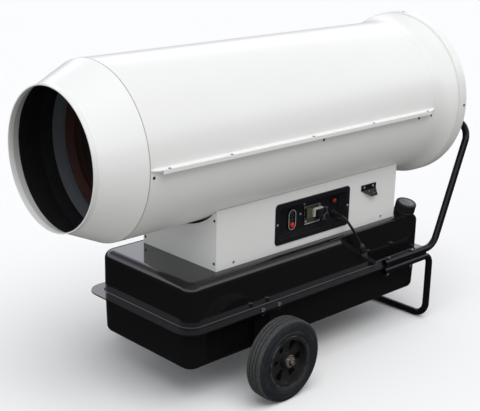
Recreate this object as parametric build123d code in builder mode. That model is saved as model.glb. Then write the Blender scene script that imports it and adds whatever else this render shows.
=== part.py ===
from build123d import *

import math
import os

os.makedirs("parts", exist_ok=True)

# A portable forced air heater: a burner and fan in a casing of two half shells, on a sheet
# steel cabinet, on a fuel tank that carries two wheels, a handle and a rear leg.
# +X is the control panel's side, -Y the hot air outlet, +Z up, and z = 0 is the floor.
# A station is a distance behind the front edge of the outlet.

# ---------------------------------------------------------------- sheet and clearances
sheet = 1.5  # casing and cabinet steel
tank_sheet = 2.0
nest_gap = 0.3  # between curved pieces that nest
hole_gap = 0.3  # round a screw, bolt or pipe in its hole
fit_gap = 0.1  # round a shaft in its hub, or a thread in its nut
running_gap = 0.06  # round a shaft in its bearing
moving_gap = 0.4  # round a button in its bore

# ---------------------------------------------------------------- casing
casing_radius = 248.5
collar_radius = 195.0
collar_length = 15.0
hem_length = 7.0
cone_length = 118.0
spigot_length = 25.0
casing_length = 1167.0
lip_width = 17.0
lower_lip_width = 13.0
lip_hem = 9.0
lip_root_radius = 5.0
edge_tolerance = 0.01
lip_taper_length = 33.0
lip_screw_offset = 10.5
lip_screw_stations = (187.0, 401.0, 720.0, 986.0, 1252.0)
bell_straight = 35.0
flare_length = 65.0
flare_radius = 268.0
rim_step = 7.0
rim_radius = 273.3
rim_length = 33.0

# ---------------------------------------------------------------- rear guard
guard_hoop_width = 16.0
guard_hoop_thickness = 3.0
guard_hoop_setback = 4.0
guard_wire_radius = 1.6
guard_ring_pitch = 29.0
guard_ring_count = 8
guard_spoke_count = 8
guard_hub_radius = 14.0
guard_hub_length = 4.0
rim_screw_angles = (0.0, 90.0, 180.0, 270.0)

# ---------------------------------------------------------------- burner
shield_radius = 236.0
shield_station = 170.0
shield_length = 980.0
clip_stations = (300.0, 776.0, 1110.0)
clip_angles = (-4.5, 60.0, 120.0, 184.5, 240.0, 300.0)
clip_width = 16.0
clip_length = 24.0
chamber_radius = 183.0
chamber_length = 690.0
chamber_hole_radius = 10.0
chamber_hole_count = 12
chamber_hole_stations = (440.0, 640.0)
strut_stations = (320.0, 800.0)
strut_angles = (30.0, 90.0, 150.0, 210.0, 270.0, 330.0)
strut_length = 40.0
strut_thickness = 3.0
deflector_station = 205.0
deflector_radius = 225.0
deflector_sleeve_length = 24.0
burner_plate_station = 880.0
burner_plate_thickness = 3.0
burner_air_hole_radius = 10.0
burner_air_hole_ring = 120.0
burner_air_hole_count = 12
burner_tube_radius = 62.0
burner_tube_wall = 2.0
burner_tube_front = 838.0
burner_tube_length = 124.0
flame_disc_station = 862.0
flame_disc_thickness = 2.0
flame_slot_count = 12
flame_slot_length = 20.0
flame_slot_width = 3.0
flame_slot_ring = 42.0
holder_radius = 10.0
holder_station = 857.0
holder_length = 98.0
nozzle_across = 16.0
nozzle_length = 15.0
nozzle_hex_length = 10.0
nozzle_tip_radius = 3.0
electrode_radius = 3.5
electrode_wire_radius = 1.0
electrode_offset_x = 17.0
electrode_offset_z = 17.0
electrode_front = 850.0
electrode_length = 90.0
electrode_wire_length = 16.0
spider_length = 6.0
spider_hub_wall = 6.0
spider_arm_width = 8.0
spider_arm_angles = (90.0, 210.0, 330.0)
photocell_radius = 8.0
photocell_ring = 90.0
photocell_angle = 45.0
photocell_length = 34.0
photocell_reach = 11.0
photocell_flange_radius = 12.0
photocell_flange_thickness = 3.0

# ---------------------------------------------------------------- motor, fan and pump
motor_station = 1085.0
motor_length = 155.0
motor_radius = 80.0
motor_fin_count = 24
motor_fin_height = 4.0
motor_fin_width = 3.0
motor_cap_length = 18.0
bracket_station = 1212.0
bracket_width = 24.0
bracket_collar_wall = 6.0
bracket_arm_thickness = 4.0
bracket_arm_angles = (45.0, 135.0, 225.0, 315.0)
bracket_screw_angles = (-4.5, 184.5, 240.0, 300.0)
shaft_radius = 9.0
shaft_front = 1058.0
shaft_chamfer = 1.0
fan_station = 1262.0
fan_hub_radius = 45.0
fan_hub_length = 42.0
fan_blade_root = 36.0
fan_blade_reach = 230.0
fan_blade_count = 6
fan_blade_thickness = 3.0
fan_root_chord = 52.0
fan_tip_chord = 88.0
fan_root_pitch = 42.0
fan_tip_pitch = 20.0
fan_nut_across = 26.0
fan_nut_length = 12.0
coupling_radius = 18.0
coupling_length = 22.0
pump_size = 64.0
pump_length = 50.0
pump_corner = 6.0
pump_skirt_radius = 42.0
pump_skirt_wall = 6.0
pump_skirt_plate = 3.0
coupling_space = 8.0
valve_size = 30.0
valve_height = 36.0
valve_body_height = 16.0
valve_coil_radius = 12.5
fuel_pipe_radius = 4.0
fuel_pipe_x = 20.0
fuel_pipe_station = 1025.0

# ---------------------------------------------------------------- cabinet
cabinet_station = 437.6
cabinet_length = 797.0
cabinet_half_width = 163.5
cabinet_height = 180.7
arch_gap = 11.0  # under the casing, at the lowest point of an end panel's arch
return_width = 22.0
tray_upturn = 26.0
tray_screw_height = 14.5
tray_screw_inset = 68.0
panel_screw_inset = 9.5
panel_screw_heights = (22.0, 150.0)
stud_x = 110.0
stud_inset = 110.0
stud_radius = 3.0
stud_height = 10.0
stud_nut_across = 10.0
stud_nut_height = 5.0
saddle_inset = 70.0
saddle_thickness = 3.0
saddle_flange = 26.0
saddle_margin = 6.0
saddle_screw_angles = (-108.0, -72.0)

# ---------------------------------------------------------------- electrical boxes
control_box_station = 640.0
transformer_station = 800.0
box_x = -60.0
box_width = 84.0
box_length = 110.0
box_height = 66.0
box_corner = 4.0
box_edge = 2.5
filter_radius = 22.0
filter_height = 52.0
filter_lift = 18.0
filter_bowl_height = 36.0
filter_head_radius = 13.0
filter_round = 4.4

# ---------------------------------------------------------------- control panel
bezel_station = 837.8
bezel_height_mid = 86.5
bezel_length = 331.5
bezel_height = 129.0
bezel_corner = 13.0
bezel_flange = 16.0
bezel_flange_thickness = 3.0
bezel_edge = 1.8
bezel_wall = 2.0
bezel_depth = 25.0
bezel_end_slope = 14.0
bezel_edge_slope = 3.0
recess_corner = 8.0
bezel_screw_inset = 8.5
floor_screw_places = ((822.0, 117.5), (806.0, 90.0))
socket_screw_places = ((829.0, 61.0), (881.0, 61.0))
floor_screw_length = 5.0
moulding_round = 2.0

switch_station = 765.0
switch_height = 82.0
switch_width = 34.0
switch_length = 66.0
switch_ring_width = 4.0
switch_plate_thickness = 3.0
switch_ring_thickness = 2.0
switch_body_depth = 38.0
switch_bore_depth = 24.0
button_radius = 8.6
button_spacing = 33.0
button_travel = 3.0
button_end_space = 1.0
start_button_stand = 2.0
stop_button_stand = 7.0
pilot_width = 5.0
pilot_length = 7.0

socket_station = 855.0
socket_height = 82.0
socket_length = 73.0
socket_width = 60.0
socket_corner = 8.0
socket_thickness = 2.0
socket_rim = 1.6
contact_length = 25.0
contact_width = 31.0
contact_thickness = 8.0
contact_station = 836.0
contact_height = 89.0
plug_station = 875.5
plug_height = 82.0
plug_length = 28.0
plug_width = 32.0
plug_thickness = 20.0
latch_width = 12.0
latch_top = 5.0
latch_thickness = 15.0
latch_leg = 28.0

fuse_station = 910.0
fuse_plate_height = 73.0
fuse_plate_length = 26.0
fuse_plate_width = 44.0
fuse_plate_thickness = 6.0
fuse_knob_radius = 12.0
fuse_knob_drop = 14.0
fuse_knob_thickness = 9.0

reset_station = 953.0
reset_height = 106.5
reset_radius = 7.6
reset_collar_wall = 4.2
reset_collar_stand = 5.0
reset_stand = 11.0
reset_dome = 4.8
reset_boss_depth = 16.0
reset_travel = 3.0

gland_station = 951.0
gland_height = 66.0
gland_nut_across = 22.0
gland_nut_thickness = 7.0
gland_length = 20.0
gland_base_radius = 8.0
gland_end_radius = 5.8
gland_thread_radius = 7.0
gland_thread_length = 14.0

# ---------------------------------------------------------------- mains lead
cord_radius = 4.25
cord_turn_share = 0.45
cord_straight_run = 14.5
plug_neck_radius = 5.8
plug_body_radius = 11.5
plug_taper_length = 34.0
plug_body_length = 20.0
pin_blade_width = 6.3
pin_blade_thickness = 1.6
pin_blade_spacing = 12.7
pin_length = 18.0
pin_ground_radius = 2.4
pin_ground_offset = 8.0
pin_blade_offset = 4.0

# ---------------------------------------------------------------- cord hook
hook_station = 1060.0
hook_length = 71.0
hook_bottom_height = 119.0
hook_top_height = 137.5
hook_flap_length = 25.0
hook_flap_skew = 43.0
hook_tilt = 24.0
hook_thickness = 2.5
hook_screw_inset = 14.0
hook_holes = ((38.6, 6.1), (57.6, 11.9))
hook_hole_radius = 4.2

# ---------------------------------------------------------------- screws and bolts
screw_head_radius = 4.6
screw_head_height = 2.4
screw_head_taper = 18.0
screw_shank_radius = 2.0
screw_length = 7.0
bolt_radius = 4.0
bolt_head_across = 13.0
bolt_head_height = 5.5
nut_height = 6.5
bolt_end = 3.0

# ---------------------------------------------------------------- tank
tank_front_margin = 135.6  # of the tank in front of the cabinet
tank_back_margin = 101.4
tank_half_width = 206.0
tank_floor_gap = 118.0
tank_lower_depth = 131.0
tank_upper_depth = 131.0
tank_corner = 40.0
tank_shoulder = 27.0
tank_bottom_radius = 20.0
tank_draft = 2.0
flange_width = 35.0
flange_corner = 58.0
flange_root_radius = 6.0
pocket_depth = 14.0
pocket_top_inset = 431.0  # from the back of the tank
pocket_foot_inset = 228.0
pocket_slope = 45.0
pocket_margin = 10.0
neck_inset = 43.0  # from the tank's side to the middle of the neck
neck_gap = 55.4  # from the cabinet to the middle of the neck
neck_tilt = 14.0
neck_radius = 26.0
neck_wall = 2.0
neck_height = 24.0
neck_boss_radius = 33.5
neck_boss_height = 9.0
cap_radius = 34.5
cap_height = 33.0
cap_wall = 4.0
cap_top = 6.0
cap_rib_count = 24
cap_rib_radius = 1.6
cap_dial_radius = 26.0
cap_dial_depth = 1.5
vent_inset = 78.0
vent_gap = 27.4
vent_radius = 9.0
vent_height = 25.0
vent_stem_radius = 5.0
fitting_stem_length = 6.0
drain_height = 32.0  # above the tank floor, in its back wall
drain_across = 22.0
drain_head_height = 8.0
drain_stem_radius = 8.0
pickup_floor_gap = 6.0

# ---------------------------------------------------------------- wheels and axle
wheel_radius = 125.0
wheel_width = 60.0
wheel_reach = 109.0  # from the tank's side to the middle of the wheel
wheel_station = 567.0
bead_radius = 74.0
bead_width = 50.0
sidewall_radius = 96.0
sidewall_round = 1.0
shoulder_drop = 15.0
shoulder_out = 3.5
shoulder_fall = 4.5
tread_width = 46.0
tread_drop = 1.0
groove_width = 3.4
groove_depth = 5.0
groove_pitch = 11.5
rim_barrel_wall = 7.0
rim_lip_radius = 78.0
rim_lip_width = 3.0
rim_web_thickness = 18.0
rim_web_offset = 1.5
rim_window_floor = 2.0  # web left behind each blind window
rim_window_count = 6
rim_window_inner = 31.0
rim_window_outer = 62.0
rim_window_inner_width = 9.0
rim_window_outer_width = 30.0
hub_radius = 22.0
hub_inner_reach = 30.0
hub_outer_reach = 27.0
axle_radius = 10.0
axle_end_radius = 6.0
axle_end_length = 15.5
washer_radius = 20.0
small_washer_radius = 16.0
washer_thickness = 2.5
washer_gap = 0.4
axle_nut_across = 19.0
axle_nut_length = 7.0
channel_gap = 3.0
bracket_bolt_stations = (562.0, 630.0)
bracket_bolt_reach = 25.0
bracket_tab_thickness = 4.0
bracket_tab_margin = 15.0
bracket_web_reach = 8.0
bracket_web_margin = 9.0
bush_wall = 6.0

# ---------------------------------------------------------------- handle and rear leg
tube_radius = 11.5
tube_wall = 1.8
tube_reach = 29.0  # from the tank's side to the middle of each arm
tube_front_inset = 224.0  # from the back of the tank
tube_bolt_insets = (204.0, 85.0)
handle_bend_reach = 36.0  # past the back of the tank
handle_back_reach = 196.0
handle_top_z = 666.0
handle_low_bend = 55.0
handle_top_bend = 62.0
leg_reach = 21.0
leg_top_bend = 32.0
leg_foot_bend = 45.0

# ---------------------------------------------------------------- places worked out
cabinet_end_station = cabinet_station + cabinet_length
tank_station = cabinet_station - tank_front_margin
tank_end_station = cabinet_end_station + tank_back_margin
tank_length = tank_end_station - tank_station
neck_x = tank_half_width - neck_inset
vent_x = tank_half_width - vent_inset
wheel_x = tank_half_width + wheel_reach
bracket_bolt_x = tank_half_width + bracket_bolt_reach
bracket_web_x = tank_half_width + bracket_web_reach
tube_x = tank_half_width + tube_reach
pocket_top_station = tank_end_station - pocket_top_inset
pocket_foot_station = tank_end_station - pocket_foot_inset
neck_station = cabinet_end_station + neck_gap
vent_station = cabinet_end_station + vent_gap
tube_front_station = tank_end_station - tube_front_inset
tube_bolt_stations = [tank_end_station - inset for inset in tube_bolt_insets]
handle_bend_station = tank_end_station + handle_bend_reach
handle_back_station = tank_end_station + handle_back_reach
leg_station = tank_end_station + leg_reach
front_y = -(handle_back_station + tube_radius) / 2
casing_front = collar_length + cone_length
casing_back = casing_front + casing_length
flare_front = casing_back + bell_straight
flare_back = flare_front + flare_length
rim_front = flare_back + rim_step
bell_back = rim_front + rim_length
spigot_radius = casing_radius - sheet - nest_gap
seam_z = tank_floor_gap + tank_lower_depth
tank_top_z = seam_z + tank_upper_depth
cabinet_top_z = tank_top_z + cabinet_height
panel_rise = math.sqrt(casing_radius**2 - (cabinet_half_width - sheet) ** 2)
axis_z = cabinet_top_z + nest_gap + panel_rise
arch_floor_z = axis_z - casing_radius - arch_gap
arch_rise = cabinet_top_z - arch_floor_z
arch_half_width = cabinet_half_width - sheet
arch_radius = (arch_half_width**2 + arch_rise**2) / (2 * arch_rise)
cabinet_mid_station = cabinet_station + cabinet_length / 2
tray_top_z = tank_top_z + sheet
axle_y = front_y + wheel_station
axle_z = wheel_radius
casing_axis = Axis((0, 0, axis_z), (0, 1, 0))
profile_plane = Plane(origin=(0, front_y, axis_z), x_dir=(0, 1, 0), z_dir=(1, 0, 0))
section_plane = Plane(origin=(0, front_y + casing_back, axis_z), x_dir=(1, 0, 0), z_dir=(0, -1, 0))


# ---------------------------------------------------------------- helpers
def radial_plane(station, radius, degrees):
    """A plane square to the casing's radius at this angle, facing outwards."""
    turn = math.radians(degrees)
    outward = Vector(math.cos(turn), 0, math.sin(turn))
    centre = Vector(0, front_y + station, axis_z)
    return Plane(origin=centre + outward * radius, x_dir=(0, 1, 0), z_dir=outward)


def level_plane(x, station, z):
    """A level plane facing up, with its origin at this place."""
    return Plane(origin=(x, front_y + station, z), x_dir=(1, 0, 0), z_dir=(0, 0, 1))


def facing_plane(station, x=0.0, z=axis_z):
    """An upright plane across the heater, facing the outlet."""
    return Plane(origin=(x, front_y + station, z), x_dir=(1, 0, 0), z_dir=(0, -1, 0))


def panel_plane(x, station, height):
    """An upright plane facing the panel's side, at a height above the tank's top."""
    return Plane(origin=(x, front_y + station, tank_top_z + height), x_dir=(0, 1, 0), z_dir=(1, 0, 0))


def axle_plane(side, reach):
    """An upright plane square to the axle, this far out and facing out on one side (1 or -1)."""
    return Plane(origin=(side * reach, axle_y, axle_z), x_dir=(0, side, 0), z_dir=(side, 0, 0))


def ring(start, end, inner, outer, mode=Mode.ADD):
    """A plain band round the casing's axis, from one station to another."""
    with BuildSketch(profile_plane) as band:
        with Locations((start, inner)):
            Rectangle(end - start, outer - inner, align=(Align.MIN, Align.MIN))
    revolve(band.sketch, axis=casing_axis, mode=mode)


def post(planes, radius, length, mode=Mode.ADD):
    """A round post of this length up each plane, or a hole where the mode subtracts."""
    with BuildSketch(*planes) as discs:
        Circle(radius)
    extrude(discs.sketch, amount=length, mode=mode)


def drill(planes, radius, depth):
    """A round hole through each plane, this deep each way."""
    with BuildSketch(*planes) as discs:
        Circle(radius)
    extrude(discs.sketch, amount=depth, both=True, mode=Mode.SUBTRACT)


def hexagon(planes, across, length):
    """A hexagonal prism of this width across its flats up each plane."""
    with BuildSketch(*planes) as hexagons:
        RegularPolygon(across / 2, 6, major_radius=False)
    extrude(hexagons.sketch, amount=length)


def add_screws(planes, length):
    """A pan head screw on each plane, its shank going down through it."""
    with BuildSketch(*planes) as heads:
        Circle(screw_head_radius)
    extrude(heads.sketch, amount=screw_head_height, taper=screw_head_taper)
    post(planes, screw_shank_radius, -length)


# ---------------------------------------------------------------- where the screws go
cone_screws = [
    radial_plane(casing_front + spigot_length / 2, casing_radius, turn) for turn in bracket_screw_angles
]
clip_screws = [radial_plane(clip_stations[1], casing_radius, turn) for turn in bracket_screw_angles]
motor_screws = [
    radial_plane(bracket_station + bracket_width / 2, casing_radius, turn) for turn in bracket_screw_angles
]
bell_screws = [
    radial_plane(casing_back - spigot_length / 2, casing_radius, turn) for turn in bracket_screw_angles
]
rim_screws = [
    radial_plane(bell_back - guard_hoop_setback - guard_hoop_width / 2, rim_radius, turn)
    for turn in rim_screw_angles
]
lip_screws = [
    level_plane(side * (casing_radius + lip_screw_offset), station, axis_z + sheet)
    for side in (-1, 1)
    for station in lip_screw_stations
]
saddle_stations = (cabinet_station + saddle_inset, cabinet_end_station - saddle_inset)
saddle_outer = casing_radius + nest_gap + saddle_thickness
saddle_screws = [
    radial_plane(station, saddle_outer, turn) for station in saddle_stations for turn in saddle_screw_angles
]
hole_radius = screw_shank_radius + hole_gap
hole_depth = 12.0


# ---------------------------------------------------------------- outlet cone
with BuildPart() as outlet_cone:
    with BuildSketch(profile_plane):
        with BuildLine():
            Polyline(
                (0, collar_radius),
                (collar_length, collar_radius),
                (casing_front, casing_radius),
                (casing_front, spigot_radius),
                (casing_front + spigot_length, spigot_radius),
                (casing_front + spigot_length, spigot_radius - sheet),
                (casing_front, spigot_radius - sheet),
                (collar_length, collar_radius - sheet),
                (hem_length, collar_radius - sheet),
                (hem_length, collar_radius - 2 * sheet),
                (0, collar_radius - 2 * sheet),
                close=True,
            )
        make_face()
    revolve(axis=casing_axis)
    drill(cone_screws, hole_radius, hole_depth)
outlet_cone.part.label = "outlet_cone"
export_step(outlet_cone.part, "parts/outlet_cone.step")


# ---------------------------------------------------------------- casing halves
def trim_lips(reach):
    """Cut the ends of both lips back on a slant, so that they grow out of the shell."""
    with BuildSketch(Plane.XY.offset(axis_z)) as corners:
        for side in (-1, 1):
            for end, along in ((casing_front, 1), (casing_back, -1)):
                inner_x = side * casing_radius
                outer_x = side * (casing_radius + reach)
                end_y = front_y + end
                with BuildLine():
                    Polyline(
                        (inner_x, end_y),
                        (outer_x, end_y),
                        (outer_x, end_y + along * lip_taper_length * reach / lip_width),
                        close=True,
                    )
                make_face()
    extrude(corners.sketch, amount=2 * lip_hem, both=True, mode=Mode.SUBTRACT)


lip_half = casing_radius + lip_width
with BuildPart() as upper_casing:
    with BuildSketch(section_plane):
        Circle(casing_radius)
        with Locations((0, sheet / 2)):
            Rectangle(2 * lip_half, sheet)
        Circle(casing_radius - sheet, mode=Mode.SUBTRACT)
        with Locations((0, -casing_radius)):
            Rectangle(2 * casing_radius, 2 * casing_radius, mode=Mode.SUBTRACT)
        with Locations((sheet / 2 - lip_half, sheet), (lip_half - sheet / 2, sheet)):
            Rectangle(sheet, lip_hem + sheet, align=(Align.CENTER, Align.MAX))
    extrude(amount=casing_length)
    lip_roots = upper_casing.edges().filter_by(Axis.Y).filter_by(
        lambda edge: abs(edge.center().Z - axis_z - sheet) < edge_tolerance
        and abs(abs(edge.center().X) - casing_radius) < sheet / 2
    )
    fillet(lip_roots, lip_root_radius)
    trim_lips(lip_width)
    drill(lip_screws, hole_radius, 2 * sheet)
upper_casing.part.label = "upper_casing"
export_step(upper_casing.part, "parts/upper_casing.step")

lower_lip_half = casing_radius + lower_lip_width
with BuildPart() as lower_casing:
    with BuildSketch(section_plane):
        Circle(casing_radius)
        with Locations((0, -sheet / 2)):
            Rectangle(2 * lower_lip_half, sheet)
        Circle(casing_radius - sheet, mode=Mode.SUBTRACT)
        with Locations((0, casing_radius)):
            Rectangle(2 * casing_radius, 2 * casing_radius, mode=Mode.SUBTRACT)
    extrude(amount=casing_length)
    trim_lips(lip_width)
    drill(lip_screws, hole_radius, 4 * sheet)
    drill(cone_screws + clip_screws + motor_screws + bell_screws, hole_radius, hole_depth)
    drill(saddle_screws, hole_radius, hole_depth)
    drill([level_plane(fuel_pipe_x, fuel_pipe_station, axis_z - casing_radius)],
          fuel_pipe_radius + hole_gap, casing_radius / 4)
lower_casing.part.label = "lower_casing"
export_step(lower_casing.part, "parts/lower_casing.step")


# ---------------------------------------------------------------- inlet bell and rear guard
with BuildPart() as inlet_bell:
    with BuildSketch(profile_plane):
        with BuildLine():
            outer_flare = TangentArc(
                (flare_front, casing_radius),
                (flare_back, flare_radius),
                tangent=(1, 0),
            )
            Polyline(
                outer_flare @ 1,
                (rim_front, rim_radius),
                (bell_back, rim_radius),
                (bell_back, rim_radius - 2 * sheet),
                (bell_back - guard_hoop_setback, rim_radius - 2 * sheet),
                (bell_back - guard_hoop_setback, rim_radius - sheet),
                (rim_front, rim_radius - sheet),
                (flare_back, flare_radius - sheet),
            )
            inner_flare = TangentArc(
                (flare_front, spigot_radius - sheet),
                (flare_back, flare_radius - sheet),
                tangent=(1, 0),
            )
            Polyline(
                inner_flare @ 0,
                (casing_back - spigot_length, spigot_radius - sheet),
                (casing_back - spigot_length, spigot_radius),
                (casing_back, spigot_radius),
                (casing_back, casing_radius),
                outer_flare @ 0,
            )
        make_face()
    revolve(axis=casing_axis)
    drill(bell_screws + rim_screws, hole_radius, hole_depth)
inlet_bell.part.label = "inlet_bell"
export_step(inlet_bell.part, "parts/inlet_bell.step")

hoop_radius = rim_radius - sheet - nest_gap
hoop_back = bell_back - guard_hoop_setback
hoop_mid = hoop_back - guard_hoop_width / 2
spoke_reach = hoop_radius - guard_hoop_thickness / 2
with BuildPart() as rear_guard:
    ring(hoop_back - guard_hoop_width, hoop_back, hoop_radius - guard_hoop_thickness, hoop_radius)
    with BuildSketch(profile_plane) as guard_wires:
        for count in range(1, guard_ring_count + 1):
            with Locations((hoop_mid, count * guard_ring_pitch)):
                Circle(guard_wire_radius)
    revolve(guard_wires.sketch, axis=casing_axis)
    ring(hoop_mid - guard_wire_radius, hoop_mid + guard_hub_length, 0, guard_hub_radius)
    for count in range(guard_spoke_count):
        turn = 360 * (count + 0.5) / guard_spoke_count
        post([radial_plane(hoop_mid + guard_wire_radius, guard_hub_radius / 2, turn)], guard_wire_radius,
             spoke_reach - guard_hub_radius / 2)
    drill(rim_screws, hole_radius, hole_depth)
rear_guard.part.label = "rear_guard"
export_step(rear_guard.part, "parts/rear_guard.step")


# ---------------------------------------------------------------- heat shield and chamber
clip_height = casing_radius - sheet - shield_radius - nest_gap
with BuildPart() as heat_shield:
    ring(shield_station, shield_station + shield_length, shield_radius - sheet, shield_radius)
    with BuildSketch(*[
        radial_plane(station, shield_radius - sheet / 2, turn)
        for station in clip_stations
        for turn in clip_angles
    ]) as clips:
        Rectangle(clip_length, clip_width)
    extrude(clips.sketch, amount=clip_height + sheet / 2)
    drill(clip_screws, hole_radius, hole_depth)
    drill([level_plane(fuel_pipe_x, fuel_pipe_station, axis_z - shield_radius)],
          fuel_pipe_radius + hole_gap, shield_radius / 4)
heat_shield.part.label = "heat_shield"
export_step(heat_shield.part, "parts/heat_shield.step")

chamber_front = deflector_station + sheet
strut_height = shield_radius - sheet - nest_gap - chamber_radius
with BuildPart() as combustion_chamber:
    ring(chamber_front, chamber_front + chamber_length, chamber_radius - sheet, chamber_radius)
    drill(
        [radial_plane(station, chamber_radius, 360 * count / chamber_hole_count)
         for station in chamber_hole_stations
         for count in range(chamber_hole_count)],
        chamber_hole_radius,
        hole_depth,
    )
    with BuildSketch(*[
        radial_plane(station, chamber_radius - sheet / 2, turn)
        for station in strut_stations
        for turn in strut_angles
    ]) as struts:
        Rectangle(strut_length, strut_thickness)
    extrude(struts.sketch, amount=strut_height + sheet / 2)
combustion_chamber.part.label = "combustion_chamber"
export_step(combustion_chamber.part, "parts/combustion_chamber.step")

sleeve_radius = chamber_radius - sheet - nest_gap
with BuildPart() as chamber_ring:
    ring(deflector_station, chamber_front, sleeve_radius - sheet, deflector_radius)
    ring(deflector_station, deflector_station + deflector_sleeve_length, sleeve_radius - sheet, sleeve_radius)
chamber_ring.part.label = "chamber_ring"
export_step(chamber_ring.part, "parts/chamber_ring.step")


# ---------------------------------------------------------------- burner
burner_plate_back = burner_plate_station + burner_plate_thickness
tube_bore = burner_tube_radius - burner_tube_wall
tube_end = burner_tube_front + burner_tube_length
photocell_turn = math.radians(photocell_angle)
photocell_x = photocell_ring * math.cos(photocell_turn)
photocell_z = axis_z + photocell_ring * math.sin(photocell_turn)
with BuildPart() as burner_plate:
    ring(burner_plate_station, burner_plate_back, tube_bore, sleeve_radius)
    ring(burner_tube_front, tube_end, tube_bore, burner_tube_radius)
    ring(tube_end - spider_length, tube_end, holder_radius + hole_gap, holder_radius + spider_hub_wall)
    for turn in spider_arm_angles:
        with BuildSketch(radial_plane(tube_end - spider_length / 2, holder_radius + spider_hub_wall / 2, turn)):
            Rectangle(spider_length, spider_arm_width)
        extrude(amount=tube_bore + burner_tube_wall / 2 - holder_radius - spider_hub_wall / 2)
    with BuildSketch(facing_plane(burner_plate_back)):
        with PolarLocations(burner_air_hole_ring, burner_air_hole_count):
            Circle(burner_air_hole_radius)
    extrude(amount=burner_plate_thickness, mode=Mode.SUBTRACT)
    drill([facing_plane(burner_plate_back, photocell_x, photocell_z)], photocell_radius + hole_gap, hole_depth)
burner_plate.part.label = "burner_plate"
export_step(burner_plate.part, "parts/burner_plate.step")

electrode_places = [
    facing_plane(electrode_front, side * electrode_offset_x, axis_z + electrode_offset_z) for side in (-1, 1)
]
with BuildPart() as flame_disc:
    ring(flame_disc_station, flame_disc_station + flame_disc_thickness,
         holder_radius + hole_gap, tube_bore - nest_gap)
    with BuildSketch(facing_plane(flame_disc_station + flame_disc_thickness)):
        with PolarLocations(flame_slot_ring, flame_slot_count, start_angle=180 / flame_slot_count):
            Rectangle(flame_slot_length, flame_slot_width)
    extrude(amount=flame_disc_thickness, mode=Mode.SUBTRACT)
    drill(electrode_places, electrode_radius + hole_gap, electrode_length)
flame_disc.part.label = "flame_disc"
export_step(flame_disc.part, "parts/flame_disc.step")

holder_end = holder_station + holder_length
with BuildPart() as nozzle_holder:
    ring(holder_station, holder_end, 0, holder_radius)
nozzle_holder.part.label = "nozzle_holder"
export_step(nozzle_holder.part, "parts/nozzle_holder.step")

with BuildPart() as fuel_nozzle:
    hexagon([facing_plane(holder_station)], nozzle_across, nozzle_hex_length)
    with BuildSketch(facing_plane(holder_station - nozzle_hex_length)):
        Circle(nozzle_across / 2)
    with BuildSketch(facing_plane(holder_station - nozzle_length)):
        Circle(nozzle_tip_radius)
    loft()
fuel_nozzle.part.label = "fuel_nozzle"
export_step(fuel_nozzle.part, "parts/fuel_nozzle.step")

with BuildPart() as electrodes:
    post(electrode_places, electrode_radius, -electrode_length)
    post(electrode_places, electrode_wire_radius, electrode_wire_length)
electrodes.part.label = "electrodes"
export_step(electrodes.part, "parts/electrodes.step")

with BuildPart() as photocell:
    post([facing_plane(burner_plate_back, photocell_x, photocell_z)], photocell_radius, photocell_reach)
    post([facing_plane(burner_plate_back, photocell_x, photocell_z)],
         photocell_flange_radius, -photocell_flange_thickness)
    post([facing_plane(burner_plate_back, photocell_x, photocell_z)], photocell_radius, -photocell_length)
photocell.part.label = "photocell"
export_step(photocell.part, "parts/photocell.step")


# ---------------------------------------------------------------- motor, bracket, fan
motor_end = motor_station + motor_length
with BuildPart() as fan_motor:
    ring(motor_station, motor_end, shaft_radius + running_gap, motor_radius - motor_fin_height)
    ring(motor_station, motor_station + motor_cap_length, shaft_radius + running_gap, motor_radius)
    ring(motor_end - motor_cap_length, motor_end, shaft_radius + running_gap, motor_radius)
    with BuildSketch(facing_plane(motor_end)):
        with PolarLocations(motor_radius - motor_fin_height, motor_fin_count):
            Rectangle(2 * motor_fin_height, motor_fin_width)
        Circle(shaft_radius + motor_fin_height, mode=Mode.SUBTRACT)
    extrude(amount=motor_length)
fan_motor.part.label = "fan_motor"
export_step(fan_motor.part, "parts/fan_motor.step")

collar_bore = math.hypot(motor_radius, motor_fin_width / 2) + nest_gap
bracket_end = bracket_station + bracket_width
with BuildPart() as motor_bracket:
    ring(bracket_station, bracket_end, spigot_radius - sheet, spigot_radius)
    ring(bracket_station, bracket_end, collar_bore, collar_bore + bracket_collar_wall)
    with BuildSketch(*[
        radial_plane(bracket_station + bracket_width / 2, collar_bore + bracket_collar_wall / 2, turn)
        for turn in bracket_arm_angles
    ]) as arms:
        Rectangle(bracket_width, bracket_arm_thickness)
    extrude(arms.sketch, amount=spigot_radius - sheet / 2 - collar_bore - bracket_collar_wall / 2)
    drill(motor_screws, hole_radius, hole_depth)
motor_bracket.part.label = "motor_bracket"
export_step(motor_bracket.part, "parts/motor_bracket.step")

fan_hub_end = fan_station + fan_hub_length
with BuildPart() as motor_shaft:
    ring(shaft_front, fan_hub_end + fan_nut_length, 0, shaft_radius)
    chamfer(motor_shaft.edges().filter_by(GeomType.CIRCLE), shaft_chamfer)
motor_shaft.part.label = "motor_shaft"
export_step(motor_shaft.part, "parts/motor_shaft.step")


def blade_plane(radius, degrees, pitch):
    """A plane square to the blade's length, its X along the blade's pitched chord."""
    turn = math.radians(degrees)
    lean = math.radians(pitch)
    outward = Vector(math.cos(turn), 0, math.sin(turn))
    across = Vector(-math.sin(turn), 0, math.cos(turn))
    chord = across * math.cos(lean) + Vector(0, 1, 0) * math.sin(lean)
    centre = Vector(0, front_y + fan_station + fan_hub_length / 2, axis_z)
    return Plane(origin=centre + outward * radius, x_dir=chord, z_dir=outward)


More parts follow.
